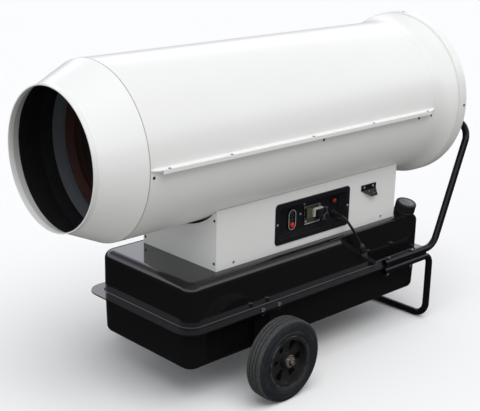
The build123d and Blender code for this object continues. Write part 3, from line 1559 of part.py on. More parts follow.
for side, name in ((-1, "left"), (1, "right")):
    wheel_axis = Axis((0, axle_y, axle_z), (1, 0, 0))
    wheel_profile = Plane(origin=(side * wheel_x, axle_y, axle_z), x_dir=(side, 0, 0), z_dir=(0, -side, 0))
    wheel_face = axle_plane(side, wheel_x)

    with BuildPart() as tyre:
        with BuildSketch(wheel_profile):
            with BuildLine():
                outline = tyre_half_outline()
                Polyline(*[(-x, radius) for x, radius in reversed(outline)], *outline)
                outer_shoulder = ThreePointArc(
                    outline[-1],
                    (tread_width / 2 + shoulder_out, wheel_radius - shoulder_fall),
                    (tread_width / 2, wheel_radius - tread_drop),
                )
                inner_shoulder = ThreePointArc(
                    (-outline[-1][0], outline[-1][1]),
                    (-tread_width / 2 - shoulder_out, wheel_radius - shoulder_fall),
                    (-tread_width / 2, wheel_radius - tread_drop),
                )
                ThreePointArc(inner_shoulder @ 1, (0, wheel_radius), outer_shoulder @ 1)
            make_face()
            with Locations(*[(count * groove_pitch, wheel_radius) for count in (-1, 0, 1)]):
                Rectangle(groove_width, 2 * groove_depth, mode=Mode.SUBTRACT)
        revolve(axis=wheel_axis)
    tyre.part.label = "tyre_" + name
    export_step(tyre.part, "parts/tyre_" + name + ".step")

    barrel_radius = bead_radius - nest_gap
    barrel_half = bead_width / 2 + nest_gap
    with BuildPart() as rim:
        with BuildSketch(wheel_profile):
            with Locations((0, barrel_radius - rim_barrel_wall / 2)):
                Rectangle(2 * barrel_half, rim_barrel_wall)
            for end in (-1, 1):
                lip_height = rim_lip_radius - barrel_radius + rim_barrel_wall
                with Locations((end * (barrel_half + rim_lip_width / 2), rim_lip_radius - lip_height / 2)):
                    Rectangle(rim_lip_width, lip_height)
            with Locations((rim_web_offset, barrel_radius / 2)):
                Rectangle(rim_web_thickness, barrel_radius - rim_barrel_wall / 2)
            with Locations(((hub_outer_reach - hub_inner_reach) / 2, hub_radius / 2)):
                Rectangle(hub_inner_reach + hub_outer_reach, hub_radius)
        revolve(axis=wheel_axis)
        window_x = wheel_x + rim_web_offset - rim_web_thickness / 2 + rim_window_floor
        with BuildSketch(axle_plane(side, window_x)) as windows:
            for count in range(rim_window_count):
                with BuildSketch(mode=Mode.PRIVATE) as window:
                    with BuildLine():
                        Polyline(
                            (rim_window_inner, rim_window_inner_width / 2),
                            (rim_window_outer, rim_window_outer_width / 2),
                            (rim_window_outer, -rim_window_outer_width / 2),
                            (rim_window_inner, -rim_window_inner_width / 2),
                            close=True,
                        )
                    make_face()
                    fillet(window.vertices(), rim_window_inner_width / 4)
                with Locations(Location((0, 0, 0), (0, 0, 360 * count / rim_window_count))):
                    add(window.sketch)
        extrude(windows.sketch, amount=rim_web_thickness, mode=Mode.SUBTRACT)
        with BuildSketch(wheel_face) as bore:
            Circle(axle_radius + running_gap)
        extrude(bore.sketch, amount=wheel_width, both=True, mode=Mode.SUBTRACT)
    rim.part.label = "rim_" + name
    export_step(rim.part, "parts/rim_" + name + ".step")

with BuildPart() as axle_nuts:
    for side in (-1, 1):
        washer_x = hub_end_x + washer_gap
        for radius in (washer_radius, small_washer_radius):
            with BuildSketch(axle_plane(side, washer_x)):
                Circle(radius)
                Circle(axle_end_radius + hole_gap, mode=Mode.SUBTRACT)
            extrude(amount=washer_thickness)
            washer_x += washer_thickness + fit_gap
        with BuildSketch(axle_plane(side, washer_x)):
            RegularPolygon(axle_nut_across / 2, 6, major_radius=False)
            Circle(axle_end_radius + fit_gap, mode=Mode.SUBTRACT)
        extrude(amount=axle_nut_length)
axle_nuts.part.label = "axle_nuts"
export_step(axle_nuts.part, "parts/axle_nuts.step")


# ---------------------------------------------------------------- handle, rear leg, bolts
handle_z = seam_z + tank_sheet + tube_radius
leg_z = seam_z - tank_sheet - tube_radius


def bent_tube(route, bends):
    """A tube along straight runs joined by round bends, starting along +Y."""
    points = [Vector(x, front_y + station, z) for x, station, z in route]
    with BuildPart() as tube:
        with BuildLine():
            FilletPolyline(*points, radius=bends)
        with BuildSketch(Plane(origin=points[0], x_dir=(1, 0, 0), z_dir=(0, 1, 0))):
            Circle(tube_radius)
            Circle(tube_radius - tube_wall, mode=Mode.SUBTRACT)
        sweep()
        drill(tube_bolts, bolt_hole, 3 * tube_radius)
    return tube


handle = bent_tube(
    [
        (tube_x, tube_front_station, handle_z),
        (tube_x, handle_bend_station, handle_z),
        (tube_x, handle_back_station, handle_top_z),
        (-tube_x, handle_back_station, handle_top_z),
        (-tube_x, handle_bend_station, handle_z),
        (-tube_x, tube_front_station, handle_z),
    ],
    [handle_low_bend, handle_top_bend, handle_top_bend, handle_low_bend],
)
handle.part.label = "handle"
export_step(handle.part, "parts/handle.step")

rear_leg = bent_tube(
    [
        (tube_x, tube_front_station, leg_z),
        (tube_x, leg_station, leg_z),
        (tube_x, leg_station, tube_radius),
        (-tube_x, leg_station, tube_radius),
        (-tube_x, leg_station, leg_z),
        (-tube_x, tube_front_station, leg_z),
    ],
    [leg_top_bend, leg_foot_bend, leg_foot_bend, leg_top_bend],
)
rear_leg.part.label = "rear_leg"
export_step(rear_leg.part, "parts/rear_leg.step")


def flange_bolt(place, head_z, foot_z):
    """A hexagon bolt down through the flange, with its nut under what it clamps."""
    x = place.origin.X
    station = place.origin.Y - front_y
    hexagon([level_plane(x, station, head_z)], bolt_head_across, bolt_head_height)
    post([level_plane(x, station, head_z)], bolt_radius, foot_z - nut_height - bolt_end - head_z)
    with BuildSketch(level_plane(x, station, foot_z)) as nut:
        RegularPolygon(bolt_head_across / 2, 6, major_radius=False)
        Circle(bolt_radius + fit_gap, mode=Mode.SUBTRACT)
    extrude(nut.sketch, amount=-nut_height)


with BuildPart() as flange_bolts:
    for place in bracket_bolts:
        flange_bolt(place, seam_z + tank_sheet, bracket_top_z - bracket_tab_thickness)
    for place in tube_bolts:
        flange_bolt(place, handle_z + tube_radius, leg_z - tube_radius)
    for place in stud_places:
        stud_station = place.origin.Y - front_y
        with BuildSketch(level_plane(place.origin.X, stud_station, tray_top_z)) as stud_nut:
            RegularPolygon(stud_nut_across / 2, 6, major_radius=False)
            Circle(stud_radius + fit_gap, mode=Mode.SUBTRACT)
        extrude(stud_nut.sketch, amount=stud_nut_height)
flange_bolts.part.label = "flange_bolts"
export_step(flange_bolts.part, "parts/flange_bolts.step")
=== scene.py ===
"""Looks of a portable forced air heater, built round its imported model.

Lengths are in millimetres until a mesh is finished, and in metres from there on. +X is the control
panel's side, -Y the hot air outlet, +Z up. A station is a distance behind the outlet's front edge.
"""

import logging
import math
from collections.abc import Iterable, Sequence
from dataclasses import dataclass
from enum import Enum

import bmesh
import bpy
from mathutils import Matrix, Vector


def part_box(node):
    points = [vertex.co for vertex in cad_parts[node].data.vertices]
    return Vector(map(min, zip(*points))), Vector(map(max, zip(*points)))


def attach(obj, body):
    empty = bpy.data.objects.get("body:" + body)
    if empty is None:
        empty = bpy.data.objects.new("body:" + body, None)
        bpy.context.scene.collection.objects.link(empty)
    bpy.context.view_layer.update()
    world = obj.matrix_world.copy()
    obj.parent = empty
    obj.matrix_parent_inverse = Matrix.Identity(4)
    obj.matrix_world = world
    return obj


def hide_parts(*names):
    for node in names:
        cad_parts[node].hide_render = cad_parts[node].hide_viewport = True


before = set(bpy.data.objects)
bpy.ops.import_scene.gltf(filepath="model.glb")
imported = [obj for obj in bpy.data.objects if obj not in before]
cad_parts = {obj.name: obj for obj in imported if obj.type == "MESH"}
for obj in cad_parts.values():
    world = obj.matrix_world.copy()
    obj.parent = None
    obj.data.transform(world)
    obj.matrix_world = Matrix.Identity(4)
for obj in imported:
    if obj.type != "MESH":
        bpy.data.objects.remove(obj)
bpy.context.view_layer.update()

MM = 0.001
SHARP_ANGLE = math.radians(32)
NEARLY_PARALLEL = 0.99
SOLID_WELD = 1e-6
log = logging.getLogger("heater")

Triple = tuple[float, float, float]
Colour = Triple
Point = tuple[float, float]
Span = tuple[float, float]
Stops = Sequence[tuple[float, Colour]]


class Body(Enum):
    """The moving bodies that new pieces ride on."""

    HEATER = "heater"
    WHEEL_LEFT = "wheel_left"
    WHEEL_RIGHT = "wheel_right"
    START = "start_button"
    STOP = "stop_button"
    RESET = "reset_button"
    CAP = "filler_cap"


class Slot(Enum):
    """Names of material slots that new pieces are handed; nothing here reads them."""

    ZINC = "zinc_steel"
    BLACK_STEEL = "hook_black"
    TUBE = "tube_black"
    BRASS = "brass"
    LEAD = "cord_rubber"
    PLUG = "plug_black"
    LATCH = "latch_grey"
    BUTTON_BLACK = "button_black"
    BUTTON_RED = "button_red"
    CAP = "cap_black"
    TYRE = "tyre_rubber"


class Side(Enum):
    """A side of the heater, as the sign of X."""

    LEFT = -1
    RIGHT = 1

    @property
    def word(self) -> str:
        """The side's name as the nodes spell it."""
        return self.name.lower()


# ---- places read from the frame
@dataclass(frozen=True)
class Box:
    """The corners of a node or a solid at rest, in millimetres."""

    low: Vector
    high: Vector

    @classmethod
    def of(cls, node: str) -> "Box":
        """Read a node's box from the frame."""
        low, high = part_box(node)
        return cls(low / MM, high / MM)

    @property
    def middle(self) -> Vector:
        """The middle of the box."""
        return (self.low + self.high) / 2

    @property
    def size(self) -> Vector:
        """The lengths of the box's sides."""
        return self.high - self.low

    @property
    def inner_face(self) -> Matrix:
        """A placement on the middle of the face at low X, whose Z runs along +X."""
        return aim(Vector((self.low.x, self.middle.y, self.middle.z)), (1, 0, 0))


OUTLET = Box.of("outlet_cone")
FRONT_Y = OUTLET.low.y
AXIS_Z = OUTLET.middle.z
TANK_TOP = Box.of("component_tray").low.z


def spot(x: float, station: float, z: float) -> Vector:
    """The place at this x, station and z."""
    return Vector((x, FRONT_Y + station, z))


def aim(origin: Vector, axis: Sequence[float], across: Sequence[float] = (0, 1, 0)) -> Matrix:
    """A placement whose Z runs along an axis.

    Args:
        origin: Where the placement's origin lies.
        axis: Direction of its Z.
        across: Direction that its X keeps near to.

    Returns:
        The placement as a matrix.
    """
    up = Vector(axis).normalized()
    side = Vector(across)
    if abs(up.dot(side.normalized())) > NEARLY_PARALLEL:
        side = Vector((1, 0, 0))
    flat = (side - up * side.dot(up)).normalized()
    turned = Matrix((flat, up.cross(flat), up)).transposed()
    return Matrix.Translation(origin) @ turned.to_4x4()


# ---- shader sockets and nodes
class Signal:
    """An output socket whose arithmetic adds Math nodes to its bench."""

    def __init__(self, bench: "Bench", socket: bpy.types.NodeSocket) -> None:
        """Wrap one output socket of a bench."""
        self.bench = bench
        self.socket = socket

    def math(self, operation: str, *values: "Signal | float") -> "Signal":
        """The result of one Math node, whose sockets take these values in order."""
        return self.bench.add("ShaderNodeMath", {"operation": operation}, dict(enumerate(values)))

    def __add__(self, other: "Signal | float") -> "Signal":
        """Self plus other."""
        return self.math("ADD", self, other)

    __radd__ = __add__

    def __sub__(self, other: "Signal | float") -> "Signal":
        """Self minus other."""
        return self.math("SUBTRACT", self, other)

    def __rsub__(self, other: "Signal | float") -> "Signal":
        """Other minus self."""
        return self.math("SUBTRACT", other, self)

    def __mul__(self, other: "Signal | float") -> "Signal":
        """Self times other."""
        return self.math("MULTIPLY", self, other)

    __rmul__ = __mul__

    def __truediv__(self, other: "Signal | float") -> "Signal":
        """Self over other."""
        return self.math("DIVIDE", self, other)

    def __rtruediv__(self, other: "Signal | float") -> "Signal":
        """Other over self."""
        return self.math("DIVIDE", other, self)

    def __gt__(self, other: "Signal | float") -> "Signal":
        """1 where self is greater, else 0."""
        return self.math("GREATER_THAN", self, other)

    def __lt__(self, other: "Signal | float") -> "Signal":
        """1 where self is less, else 0."""
        return self.math("LESS_THAN", self, other)

    def __abs__(self) -> "Signal":
        """The size of self without its sign."""
        return self.math("ABSOLUTE", self)

    def at_least(self, floor: "Signal | float") -> "Signal":
        """The greater of self and the floor."""
        return self.math("MAXIMUM", self, floor)

    def ease(self, low: float, high: float) -> "Signal":
        """A smooth step of self, from 0 at the low value to 1 at the high one."""
        values = {"Value": self, "From Min": low, "From Max": high}
        return self.bench.add("ShaderNodeMapRange", {"interpolation_type": "SMOOTHSTEP"}, values)


def hypot(first: Signal, second: Signal) -> Signal:
    """The length of two offsets that stand square to each other."""
    return first.math("SQRT", first * first + second * second)


class Bench:
    """A node tree that nodes are added to, with the shader at its end."""

    MIX_FIRST = 6
    MIX_SECOND = 7
    MIX_RESULT = 2

    def __init__(self, tree: bpy.types.NodeTree, shader: str) -> None:
        """Take up a tree that ends in a shader of this node type."""
        self.tree = tree
        self.shader = next(node for node in tree.nodes if node.type == shader)

    def add(
        self,
        kind: str,
        settings: dict[str, object] | None = None,
        inputs: dict[str | int, object] | None = None,
        output: str | int = 0,
    ) -> Signal:
        """Add a node of any kind.

        Args:
            kind: The node's type.
            settings: Its own properties, set first. "stops" holds a ramp's places and colours.
            inputs: Values or signals for its sockets.
            output: Which of its outputs to give.

        Returns:
            The chosen output.
        """
        node = self.tree.nodes.new(kind)
        for name, value in (settings or {}).items():
            if name == "stops":
                self.set_stops(node.color_ramp, value)
            else:
                setattr(node, name, value)
        for socket, value in (inputs or {}).items():
            self.feed(node.inputs[socket], value)
        return Signal(self, node.outputs[output])

    @staticmethod
    def set_stops(ramp: bpy.types.ColorRamp, stops: Stops) -> None:
        """Give a ramp its stops.

        Args:
            ramp: The ramp, with its two first stops.
            stops: Places from 0 to 1 with their colours.
        """
        while len(ramp.elements) < len(stops):
            ramp.elements.new(1.0)
        for element, (place, colour) in zip(ramp.elements, stops):
            element.position = place
            element.color = (*colour, 1.0)

    def feed(self, socket: bpy.types.NodeSocket, value: object) -> None:
        """Link or set one input socket.

        Args:
            socket: The input.
            value: A signal, a number, a vector or a colour.
        """
        if isinstance(value, Signal):
            self.tree.links.new(value.socket, socket)
        elif socket.type == "RGBA":
            socket.default_value = (*value, 1.0)
        else:
            socket.default_value = value

    def vary(self, socket: str, value: object) -> None:
        """Feed one socket of the shader."""
        self.feed(self.shader.inputs[socket], value)

    def place(self) -> Signal:
        """The point on the piece, in metres in the heater's own frame."""
        return self.add("ShaderNodeTexCoord", output="Object")

    def axes(self) -> tuple[Signal, Signal, Signal]:
        """The x, y and z of the point, in millimetres."""
        return self.split(self.place(), 1 / MM)

    def normal(self) -> tuple[Signal, Signal, Signal]:
        """The x, y and z of the surface's normal."""
        return self.split(self.add("ShaderNodeTexCoord", output="Normal"))

    def split(self, vector: Signal, scale: float = 1.0) -> tuple[Signal, Signal, Signal]:
        """Take a vector apart.

        Args:
            vector: The vector.
            scale: What each part is multiplied by.

        Returns:
            Its three parts.
        """
        scaled = self.add("ShaderNodeVectorMath", {"operation": "SCALE"}, {0: vector, "Scale": scale})
        parts = self.add("ShaderNodeSeparateXYZ", inputs={0: scaled})
        return tuple(Signal(self, socket) for socket in parts.socket.node.outputs)

    def noise(
        self, size: float, detail: float = 2.0, roughness: float = 0.5, stretch: Triple = (1, 1, 1)
    ) -> Signal:
        """Cloudy noise from 0 to 1.

        Args:
            size: Width of its clouds, in millimetres.
            detail: How many finer layers it holds.
            roughness: How strong those are.
            stretch: How much finer it is along each axis.

        Returns:
            The noise.
        """
        place = self.add("ShaderNodeVectorMath", {"operation": "MULTIPLY"}, {0: self.place(), 1: stretch})
        values = {"Vector": place, "Scale": 1 / (size * MM), "Detail": detail, "Roughness": roughness}
        return self.add("ShaderNodeTexNoise", inputs=values)

    def flakes(self, size: float) -> Signal:
        """A random value for each of the cells of this width in millimetres."""
        values = {"Vector": self.place(), "Scale": 1 / (size * MM)}
        return self.split(self.add("ShaderNodeTexVoronoi", inputs=values, output="Color"))[0]

    def blend(self, share: "Signal | float", first: object, second: object) -> Signal:
        """Mix two colours or signals, of which the second shows by this share from 0 to 1."""
        values = {"Factor": share, self.MIX_FIRST: first, self.MIX_SECOND: second}
        return self.add("ShaderNodeMix", {"data_type": "RGBA"}, values, self.MIX_RESULT)

    def ramp(self, value: Signal, stops: Stops) -> Signal:
        """The colours of a ramp, read at a value from 0 to 1."""
        return self.add("ShaderNodeValToRGB", {"stops": stops}, {0: value})

    def relief(self, height: Signal, depth: float, edge: float = 0.0) -> None:
        """Feed the shader's normal from a height.

        Args:
            height: The height, from 0 to 1.
            depth: What 1 stands for, in millimetres.
            edge: Radius that the piece's edges seem rounded by, in millimetres.
        """
        values: dict[str | int, object] = {"Height": height, "Distance": depth * MM, "Strength": 1.0}
        if edge:
            values["Normal"] = self.add("ShaderNodeBevel", {"samples": 4}, {"Radius": edge * MM})
        self.vary("Normal", self.add("ShaderNodeBump", inputs=values))


def shade(colour: Colour, share: float) -> Colour:
    """A colour at a share of its brightness."""
    return tuple(part * share for part in colour)


# ---- finishes
@dataclass(frozen=True)
class Finish:
    """A surface, from which one material is made. Grain, depth, cloud and edge are in millimetres."""

    name: str
    colour: Colour
    roughness: float
    metallic: float = 0.0
    specular: float = 0.5
    coat: float = 0.0
    coat_roughness: float = 0.05
    grain: float = 1.2
    depth: float = 0.02
    cloud: float = 90.0
    change: float = 0.06
    edge: float = 0.0
    cloud_edge: Span = (0.2, 0.8)

    def material(self) -> bpy.types.Material:
        """Make the material.

        Returns:
            The material, with its constants set and its varying inputs fed.
        """
        material = bpy.data.materials.new(self.name)
        material.use_nodes = True
        bench = Bench(material.node_tree, "BSDF_PRINCIPLED")
        constants = {
            "Base Color": self.colour,
            "Roughness": self.roughness,
            "Metallic": self.metallic,
            "Specular IOR Level": self.specular,
            "Coat Weight": self.coat,
            "Coat Roughness": self.coat_roughness,
        }
        for socket, value in constants.items():
            bench.vary(socket, value)
        self.dress(bench)
        return material

    def dress(self, bench: Bench) -> None:
        """Feed what varies: a cloudy tone, a changing gloss and a fine grain.

        Args:
            bench: The material's bench.
        """
        clouds = bench.noise(self.cloud, detail=4.0)
        bench.vary("Base Color", self.tone(bench, clouds))
        bench.vary("Roughness", self.gloss(clouds, 2))
        self.peel(bench)

    def tone(self, bench: Bench, clouds: Signal) -> Signal:
        """The colour, a little darker where the clouds are thin."""
        return bench.blend(clouds.ease(*self.cloud_edge), shade(self.colour, 1 - self.change), self.colour)

    def gloss(self, pattern: Signal, strength: float) -> Signal:
        """The roughness, changed this many times the finish's change by a pattern from 0 to 1."""
        return self.roughness + (pattern - 0.5) * self.change * strength

    def peel(self, bench: Bench) -> None:
        """Feed the fine grain."""
        bench.relief(bench.noise(self.grain), self.depth, self.edge)


@dataclass(frozen=True)
class Seam:
    """A line round the casing where two sheets meet."""

    station: float
    half_width: float
    colour: Colour


@dataclass(frozen=True)
class PowderCoat(Finish):
    """Baked powder paint, with its seams and a film of dust on what faces up."""

    dust: Colour = (0.42, 0.38, 0.32)
    dust_share: float = 0.05
    dust_patch: float = 14.0
    dust_edge: Span = (0.45, 0.8)
    dust_slope: Span = (-0.2, 1.0)
    seams: tuple[Seam, ...] = ()
    grime_patch: float = 16.0
    grime_edge: Span = (0.2, 0.5)
    grime_share: float = 0.4

    def dress(self, bench: Bench) -> None:
        """Feed the paint's tone, gloss and peel.

        Args:
            bench: The material's bench.
        """
        clouds = bench.noise(self.cloud, detail=4.0)
        _, _, up = bench.normal()
        patches = bench.noise(self.dust_patch, detail=5.0, roughness=0.65).ease(*self.dust_edge)
        film = patches * up.ease(*self.dust_slope) * self.dust_share
        bench.vary("Base Color", bench.blend(film, self.seamed(bench, self.tone(bench, clouds)), self.dust))
        bench.vary("Roughness", self.gloss(clouds, 2) + film)
        self.peel(bench)

    def seamed(self, bench: Bench, colour: Signal) -> Signal:
        """Draw the seams, broken a little by grime that gathers in them.

        Args:
            bench: The material's bench.
            colour: The paint's own colour.

        Returns:
            The colour with its seams.
        """
        station = bench.axes()[1] - FRONT_Y
        for seam in self.seams:
            near = abs(station - seam.station) < seam.half_width
            grime = bench.noise(self.grime_patch, detail=3.0).ease(*self.grime_edge)
            share = grime * self.grime_share + (1 - self.grime_share)
            colour = bench.blend(near * share, colour, seam.colour)
        return colour


@dataclass(frozen=True)
class WhiteCoat(PowderCoat):
    """The white paint of the casing and the cabinet."""

    colour: Colour = (0.80, 0.80, 0.79)
    roughness: float = 0.34
    specular: float = 0.4
    coat: float = 0.18
    coat_roughness: float = 0.16
    grain: float = 1.6
    depth: float = 0.012
    cloud: float = 240.0
    change: float = 0.02


@dataclass(frozen=True)
class LinedCoat(WhiteCoat):
    """White paint outside and on the mouth's inner band, black on the inward faces beyond it."""

    black: Colour = (0.006, 0.006, 0.007)
    black_roughness: float = 0.8
    black_patch: float = 22.0
    black_patch_edge: Span = (0.3, 0.8)
    black_patch_rise: float = 2.2
    band_end: float = 39.0
    band_blur: float = 0.6
    band_wander: float = 1.5
    band_patch: float = 60.0
    shell_radius: float = 1000.0

    def dress(self, bench: Bench) -> None:
        """Feed white or black paint by place.

        Args:
            bench: The material's bench.
        """
        x, y, z = bench.axes()
        across, _, up = bench.normal()
        height = z - AXIS_Z
        inward = ((across * x + up * height) < 0) * (hypot(x, height) < self.shell_radius)
        edge = y - FRONT_Y + (bench.noise(self.band_patch) - 0.5) * self.band_wander
        # The inward faces past the band's end are made black, in lighter and darker patches.
        inner_black_share = inward * edge.ease(self.band_end - self.band_blur, self.band_end + self.band_blur)
        clouds = bench.noise(self.cloud, detail=4.0)
        black_patches = bench.noise(self.black_patch, detail=5.0).ease(*self.black_patch_edge)
        inner_black = bench.blend(black_patches, self.black, shade(self.black, self.black_patch_rise))
        bench.vary("Base Color", bench.blend(inner_black_share, self.seamed(bench, self.tone(bench, clouds)), inner_black))
        bench.vary("Roughness", self.roughness + inner_black_share * (self.black_roughness - self.roughness))
        self.peel(bench)


@dataclass(frozen=True)
class HeatTint(Finish):
    """Steel that heat has run through its colours, ring after ring along the casing's axis."""

    metallic: float = 0.6
    depth: float = 0.03
    change: float = 0.08
    stops: Stops = ()
    start: float = 0.0
    length: float = 100.0
    wander: float = 0.3
    wander_patch: float = 120.0
    scale_patch: float = 7.0
    scale_edge: Span = (0.5, 0.9)
    scale_share: float = 0.5
    scale_shade: float = 0.4

    def dress(self, bench: Bench) -> None:
        """Feed the colours along the axis, with scale over them.

        Args:
            bench: The material's bench.
        """
        _, y, _ = bench.axes()
        wander = (bench.noise(self.wander_patch, detail=3.0) - 0.5) * self.wander
        tint = bench.ramp((y - (FRONT_Y + self.start)) / self.length + wander, self.stops)
        flecks = bench.noise(self.scale_patch, detail=6.0, roughness=0.7)
        scale = flecks.ease(*self.scale_edge) * self.scale_share
        bench.vary("Base Color", bench.blend(scale, tint, shade(self.colour, self.scale_shade)))
        bench.vary("Roughness", self.gloss(flecks, 4))
        bench.vary("Metallic", self.metallic * (1 - scale))
        bench.relief(flecks, self.depth, self.edge)


@dataclass(frozen=True)
class Galvanised(Finish):
    """Zinc coated sheet, with its spangle and a grain rolled along Y."""

    spangle: float = 11.0
    spangle_share: float = 0.6
    spangle_shade: float = 0.72
    rolled: Triple = (1, 0.08, 1)

    def dress(self, bench: Bench) -> None:
        """Feed the spangle's tones and the rolled grain.

        Args:
            bench: The material's bench.
        """
        flakes = bench.flakes(self.spangle)
        share = flakes * self.spangle_share + bench.noise(self.cloud, detail=3.0) * (1 - self.spangle_share)
        bench.vary("Base Color", bench.blend(share, shade(self.colour, self.spangle_shade), self.colour))
        bench.vary("Roughness", self.gloss(flakes, 2))
        bench.relief(bench.noise(self.grain, stretch=self.rolled), self.depth, self.edge)


@dataclass(frozen=True)
class Plated(Finish):
    """Bright plating or bare turned metal, with a cast here and there, and tool marks."""

    metallic: float = 1.0
    depth: float = 0.008
    cast: Colour = (0.42, 0.52, 0.66)
    cast_patch: float = 5.0
    cast_edge: Span = (0.45, 0.75)
    cast_share: float = 0.6
    mark_width: float = 0.6
    mark_edge: Span = (0.5, 0.9)
    mark_share: float = 0.4
    mark_shade: float = 0.45

    def dress(self, bench: Bench) -> None:
        """Feed the plating's cast and marks.

        Args:
            bench: The material's bench.
        """
        patches = bench.noise(self.cast_patch, detail=3.0).ease(*self.cast_edge) * self.cast_share
        marks = bench.noise(self.mark_width, detail=4.0, roughness=0.7)
        scored = marks.ease(*self.mark_edge) * self.mark_share
        tone = bench.blend(patches, self.colour, self.cast)
        bench.vary("Base Color", bench.blend(scored, tone, shade(self.colour, self.mark_shade)))
        bench.vary("Roughness", self.gloss(marks, 3))
        bench.relief(marks, self.depth, self.edge)


@dataclass(frozen=True)
class Rusted(Finish):
    """Plated steel that has begun to rust."""

    rust: Colour = (0.13, 0.065, 0.035)
    rust_roughness: float = 0.9
    share: float = 0.5
    bloom_patch: float = 6.0
    bloom_edge: Span = (0.78, 0.98)
    bloom_reach: float = 0.6
    speck: float = 1.1
    speck_shades: Span = (0.55, 1.5)

    def dress(self, bench: Bench) -> None:
        """Feed rust over the metal.

        Args:
            bench: The material's bench.
        """
        low, high = (end - self.share * self.bloom_reach for end in self.bloom_edge)
        bloom = bench.noise(self.bloom_patch, detail=6.0, roughness=0.7).ease(low, high)
        speck = bench.noise(self.speck, detail=4.0)
        scale = bench.blend(speck, *(shade(self.rust, share) for share in self.speck_shades))
        bench.vary("Base Color", bench.blend(bloom, self.colour, scale))
        bench.vary("Roughness", self.roughness + bloom * (self.rust_roughness - self.roughness))
        bench.vary("Metallic", self.metallic * (1 - bloom))
        bench.relief(bloom * speck, self.depth, self.edge)


@dataclass(frozen=True)
class WheelFinish(Finish):
    """A finish that changes with the distance from a wheel's axle."""

    axle_y: float = 0.0
    axle_z: float = 125.0

    def radius(self, bench: Bench) -> Signal:
        """The distance from the axle."""
        _, y, z = bench.axes()
        return hypot(y - self.axle_y, z - self.axle_z)


@dataclass(frozen=True)
class TyreRubber(WheelFinish):
    """Worn rubber, grey with dust on its tread and in its mouldings."""

    tread: Span = (118.0, 122.0)
    mottle: float = 2.2
    mottle_edge: Span = (0.4, 0.66)
    scuff_share: float = 0.8
    film_patch: float = 26.0
    film_edge: Span = (0.35, 0.8)
    film_share: float = 0.07
    worn_rise: float = 0.12
    dust: Colour = (0.15, 0.147, 0.14)

    def dress(self, bench: Bench) -> None:
        """Feed dust by the distance from the axle.

        Args:
            bench: The material's bench.
        """
        mottle = bench.noise(self.mottle, detail=6.0, roughness=0.8)
        worn = self.radius(bench).ease(*self.tread) * mottle.ease(*self.mottle_edge)
        film = bench.noise(self.film_patch, detail=4.0).ease(*self.film_edge) * self.film_share
        dusty = (worn * self.scuff_share).at_least(film)
        bench.vary("Base Color", bench.blend(dusty, self.colour, self.dust))
        bench.vary("Roughness", self.roughness + worn * self.worn_rise)
        bench.relief(mottle, self.depth, self.edge)


@dataclass(frozen=True)
class RimMoulding(WheelFinish):
    """A moulded rim, with painted shadow down in its windows between the spokes and a painted highlight round
    its lip.
    """

    side: Side = Side.RIGHT
    spoke_face: float = 0.0
    window: Span = (29.0, 64.0)
    window_drop: Span = (0.6, 2.2)
    window_roughness: float = 0.5
    lip: Span = (75.5, 77.0)
    mottle: float = 14.0
    mottle_edge: Span = (0.35, 0.62)
    # Painted shadow: the near black of the window floors.
    shadow: Colour = (0.001, 0.001, 0.001)
    # Painted highlight: the light grey round the lip.
    lip_highlight: Colour = (0.11, 0.11, 0.108)

    def dress(self, bench: Bench) -> None:
        """Feed the colour by how deep and how far from the axle a place is.

        Args:
            bench: The material's bench.
        """
        radius = self.radius(bench)
        grain = bench.noise(self.grain)
        sunk = (self.spoke_face - bench.axes()[0] * self.side.value).ease(*self.window_drop)
        window = sunk * (radius > self.window[0]) * (radius < self.window[1])
        # Painted highlight round the lip, broken into patches by noise.
        lip_highlight = radius.ease(*self.lip) * bench.noise(self.mottle, detail=3.0).ease(*self.mottle_edge)
        # Painted shadow: window floors below the spokes' faces go near black.
        colour = bench.blend(window, self.tone(bench, bench.noise(self.cloud)), self.shadow)
        bench.vary("Base Color", bench.blend(lip_highlight, colour, self.lip_highlight))
        bench.vary("Roughness", self.gloss(grain, 1) + window * self.window_roughness)
        bench.relief(grain, self.depth, self.edge)


@dataclass(frozen=True)
class Band:
    """A coloured band on a face that looks along X, round a rectangle's core with round ends.

    It lies between two distances from the core, and only further out along X than a plane.
    """

    middle: Vector
    half_y: float
    half_z: float
    reach: Span
    colour: Colour
    above_x: float = 0.0


@dataclass(frozen=True)
class LinedMoulding(Finish):
    """A black moulding with printed or moulded bands of other colours."""

    bands: tuple[Band, ...] = ()

    def dress(self, bench: Bench) -> None:
        """Feed the moulding's grain and its bands.

        Args:
            bench: The material's bench.
        """
        x, y, z = bench.axes()
        grain = bench.noise(self.grain)
        colour = self.tone(bench, bench.noise(self.cloud))
        for band in self.bands:
            out_y = (abs(y - band.middle.y) - band.half_y).at_least(0.0)
            out_z = (abs(z - band.middle.z) - band.half_z).at_least(0.0)
            out = hypot(out_y, out_z)
            share = (out > band.reach[0]) * (out < band.reach[1]) * (x > band.above_x)
            colour = bench.blend(share, colour, band.colour)
        bench.vary("Base Color", colour)
        bench.vary("Roughness", self.gloss(grain, 1))
        bench.relief(grain, self.depth, self.edge)


@dataclass(frozen=True)
class Moulding(Finish):
    """A plain black moulding."""

    specular: float = 0.35
    grain: float = 0.9
    cloud: float = 30.0


@dataclass(frozen=True)
class ButtonGloss(Finish):
    """The glossy moulding of a button."""

    coat: float = 0.3
    depth: float = 0.006
    cloud: float = 9.0


@dataclass(frozen=True)
class Backdrop(Finish):
    """Matt paper that hardly changes."""

    def dress(self, bench: Bench) -> None:
        """Feed a tone that hardly changes."""
        tone = bench.noise(self.cloud, detail=3.0)
        bench.vary("Base Color", bench.blend(tone, shade(self.colour, 1 - self.change), self.colour))


SEALANT: Colour = (0.40, 0.365, 0.30)
FAINT_SEAM: Colour = (0.66, 0.66, 0.61)
TRIM_LINE: Colour = (0.42, 0.44, 0.45)
DIM_LINE: Colour = (0.13, 0.135, 0.14)
OLIVE: Colour = (0.085, 0.078, 0.048)
PILOT: Colour = (0.02, 0.05, 0.03)
MOUTH_SEAM = Seam(133.0, 1.4, SEALANT)


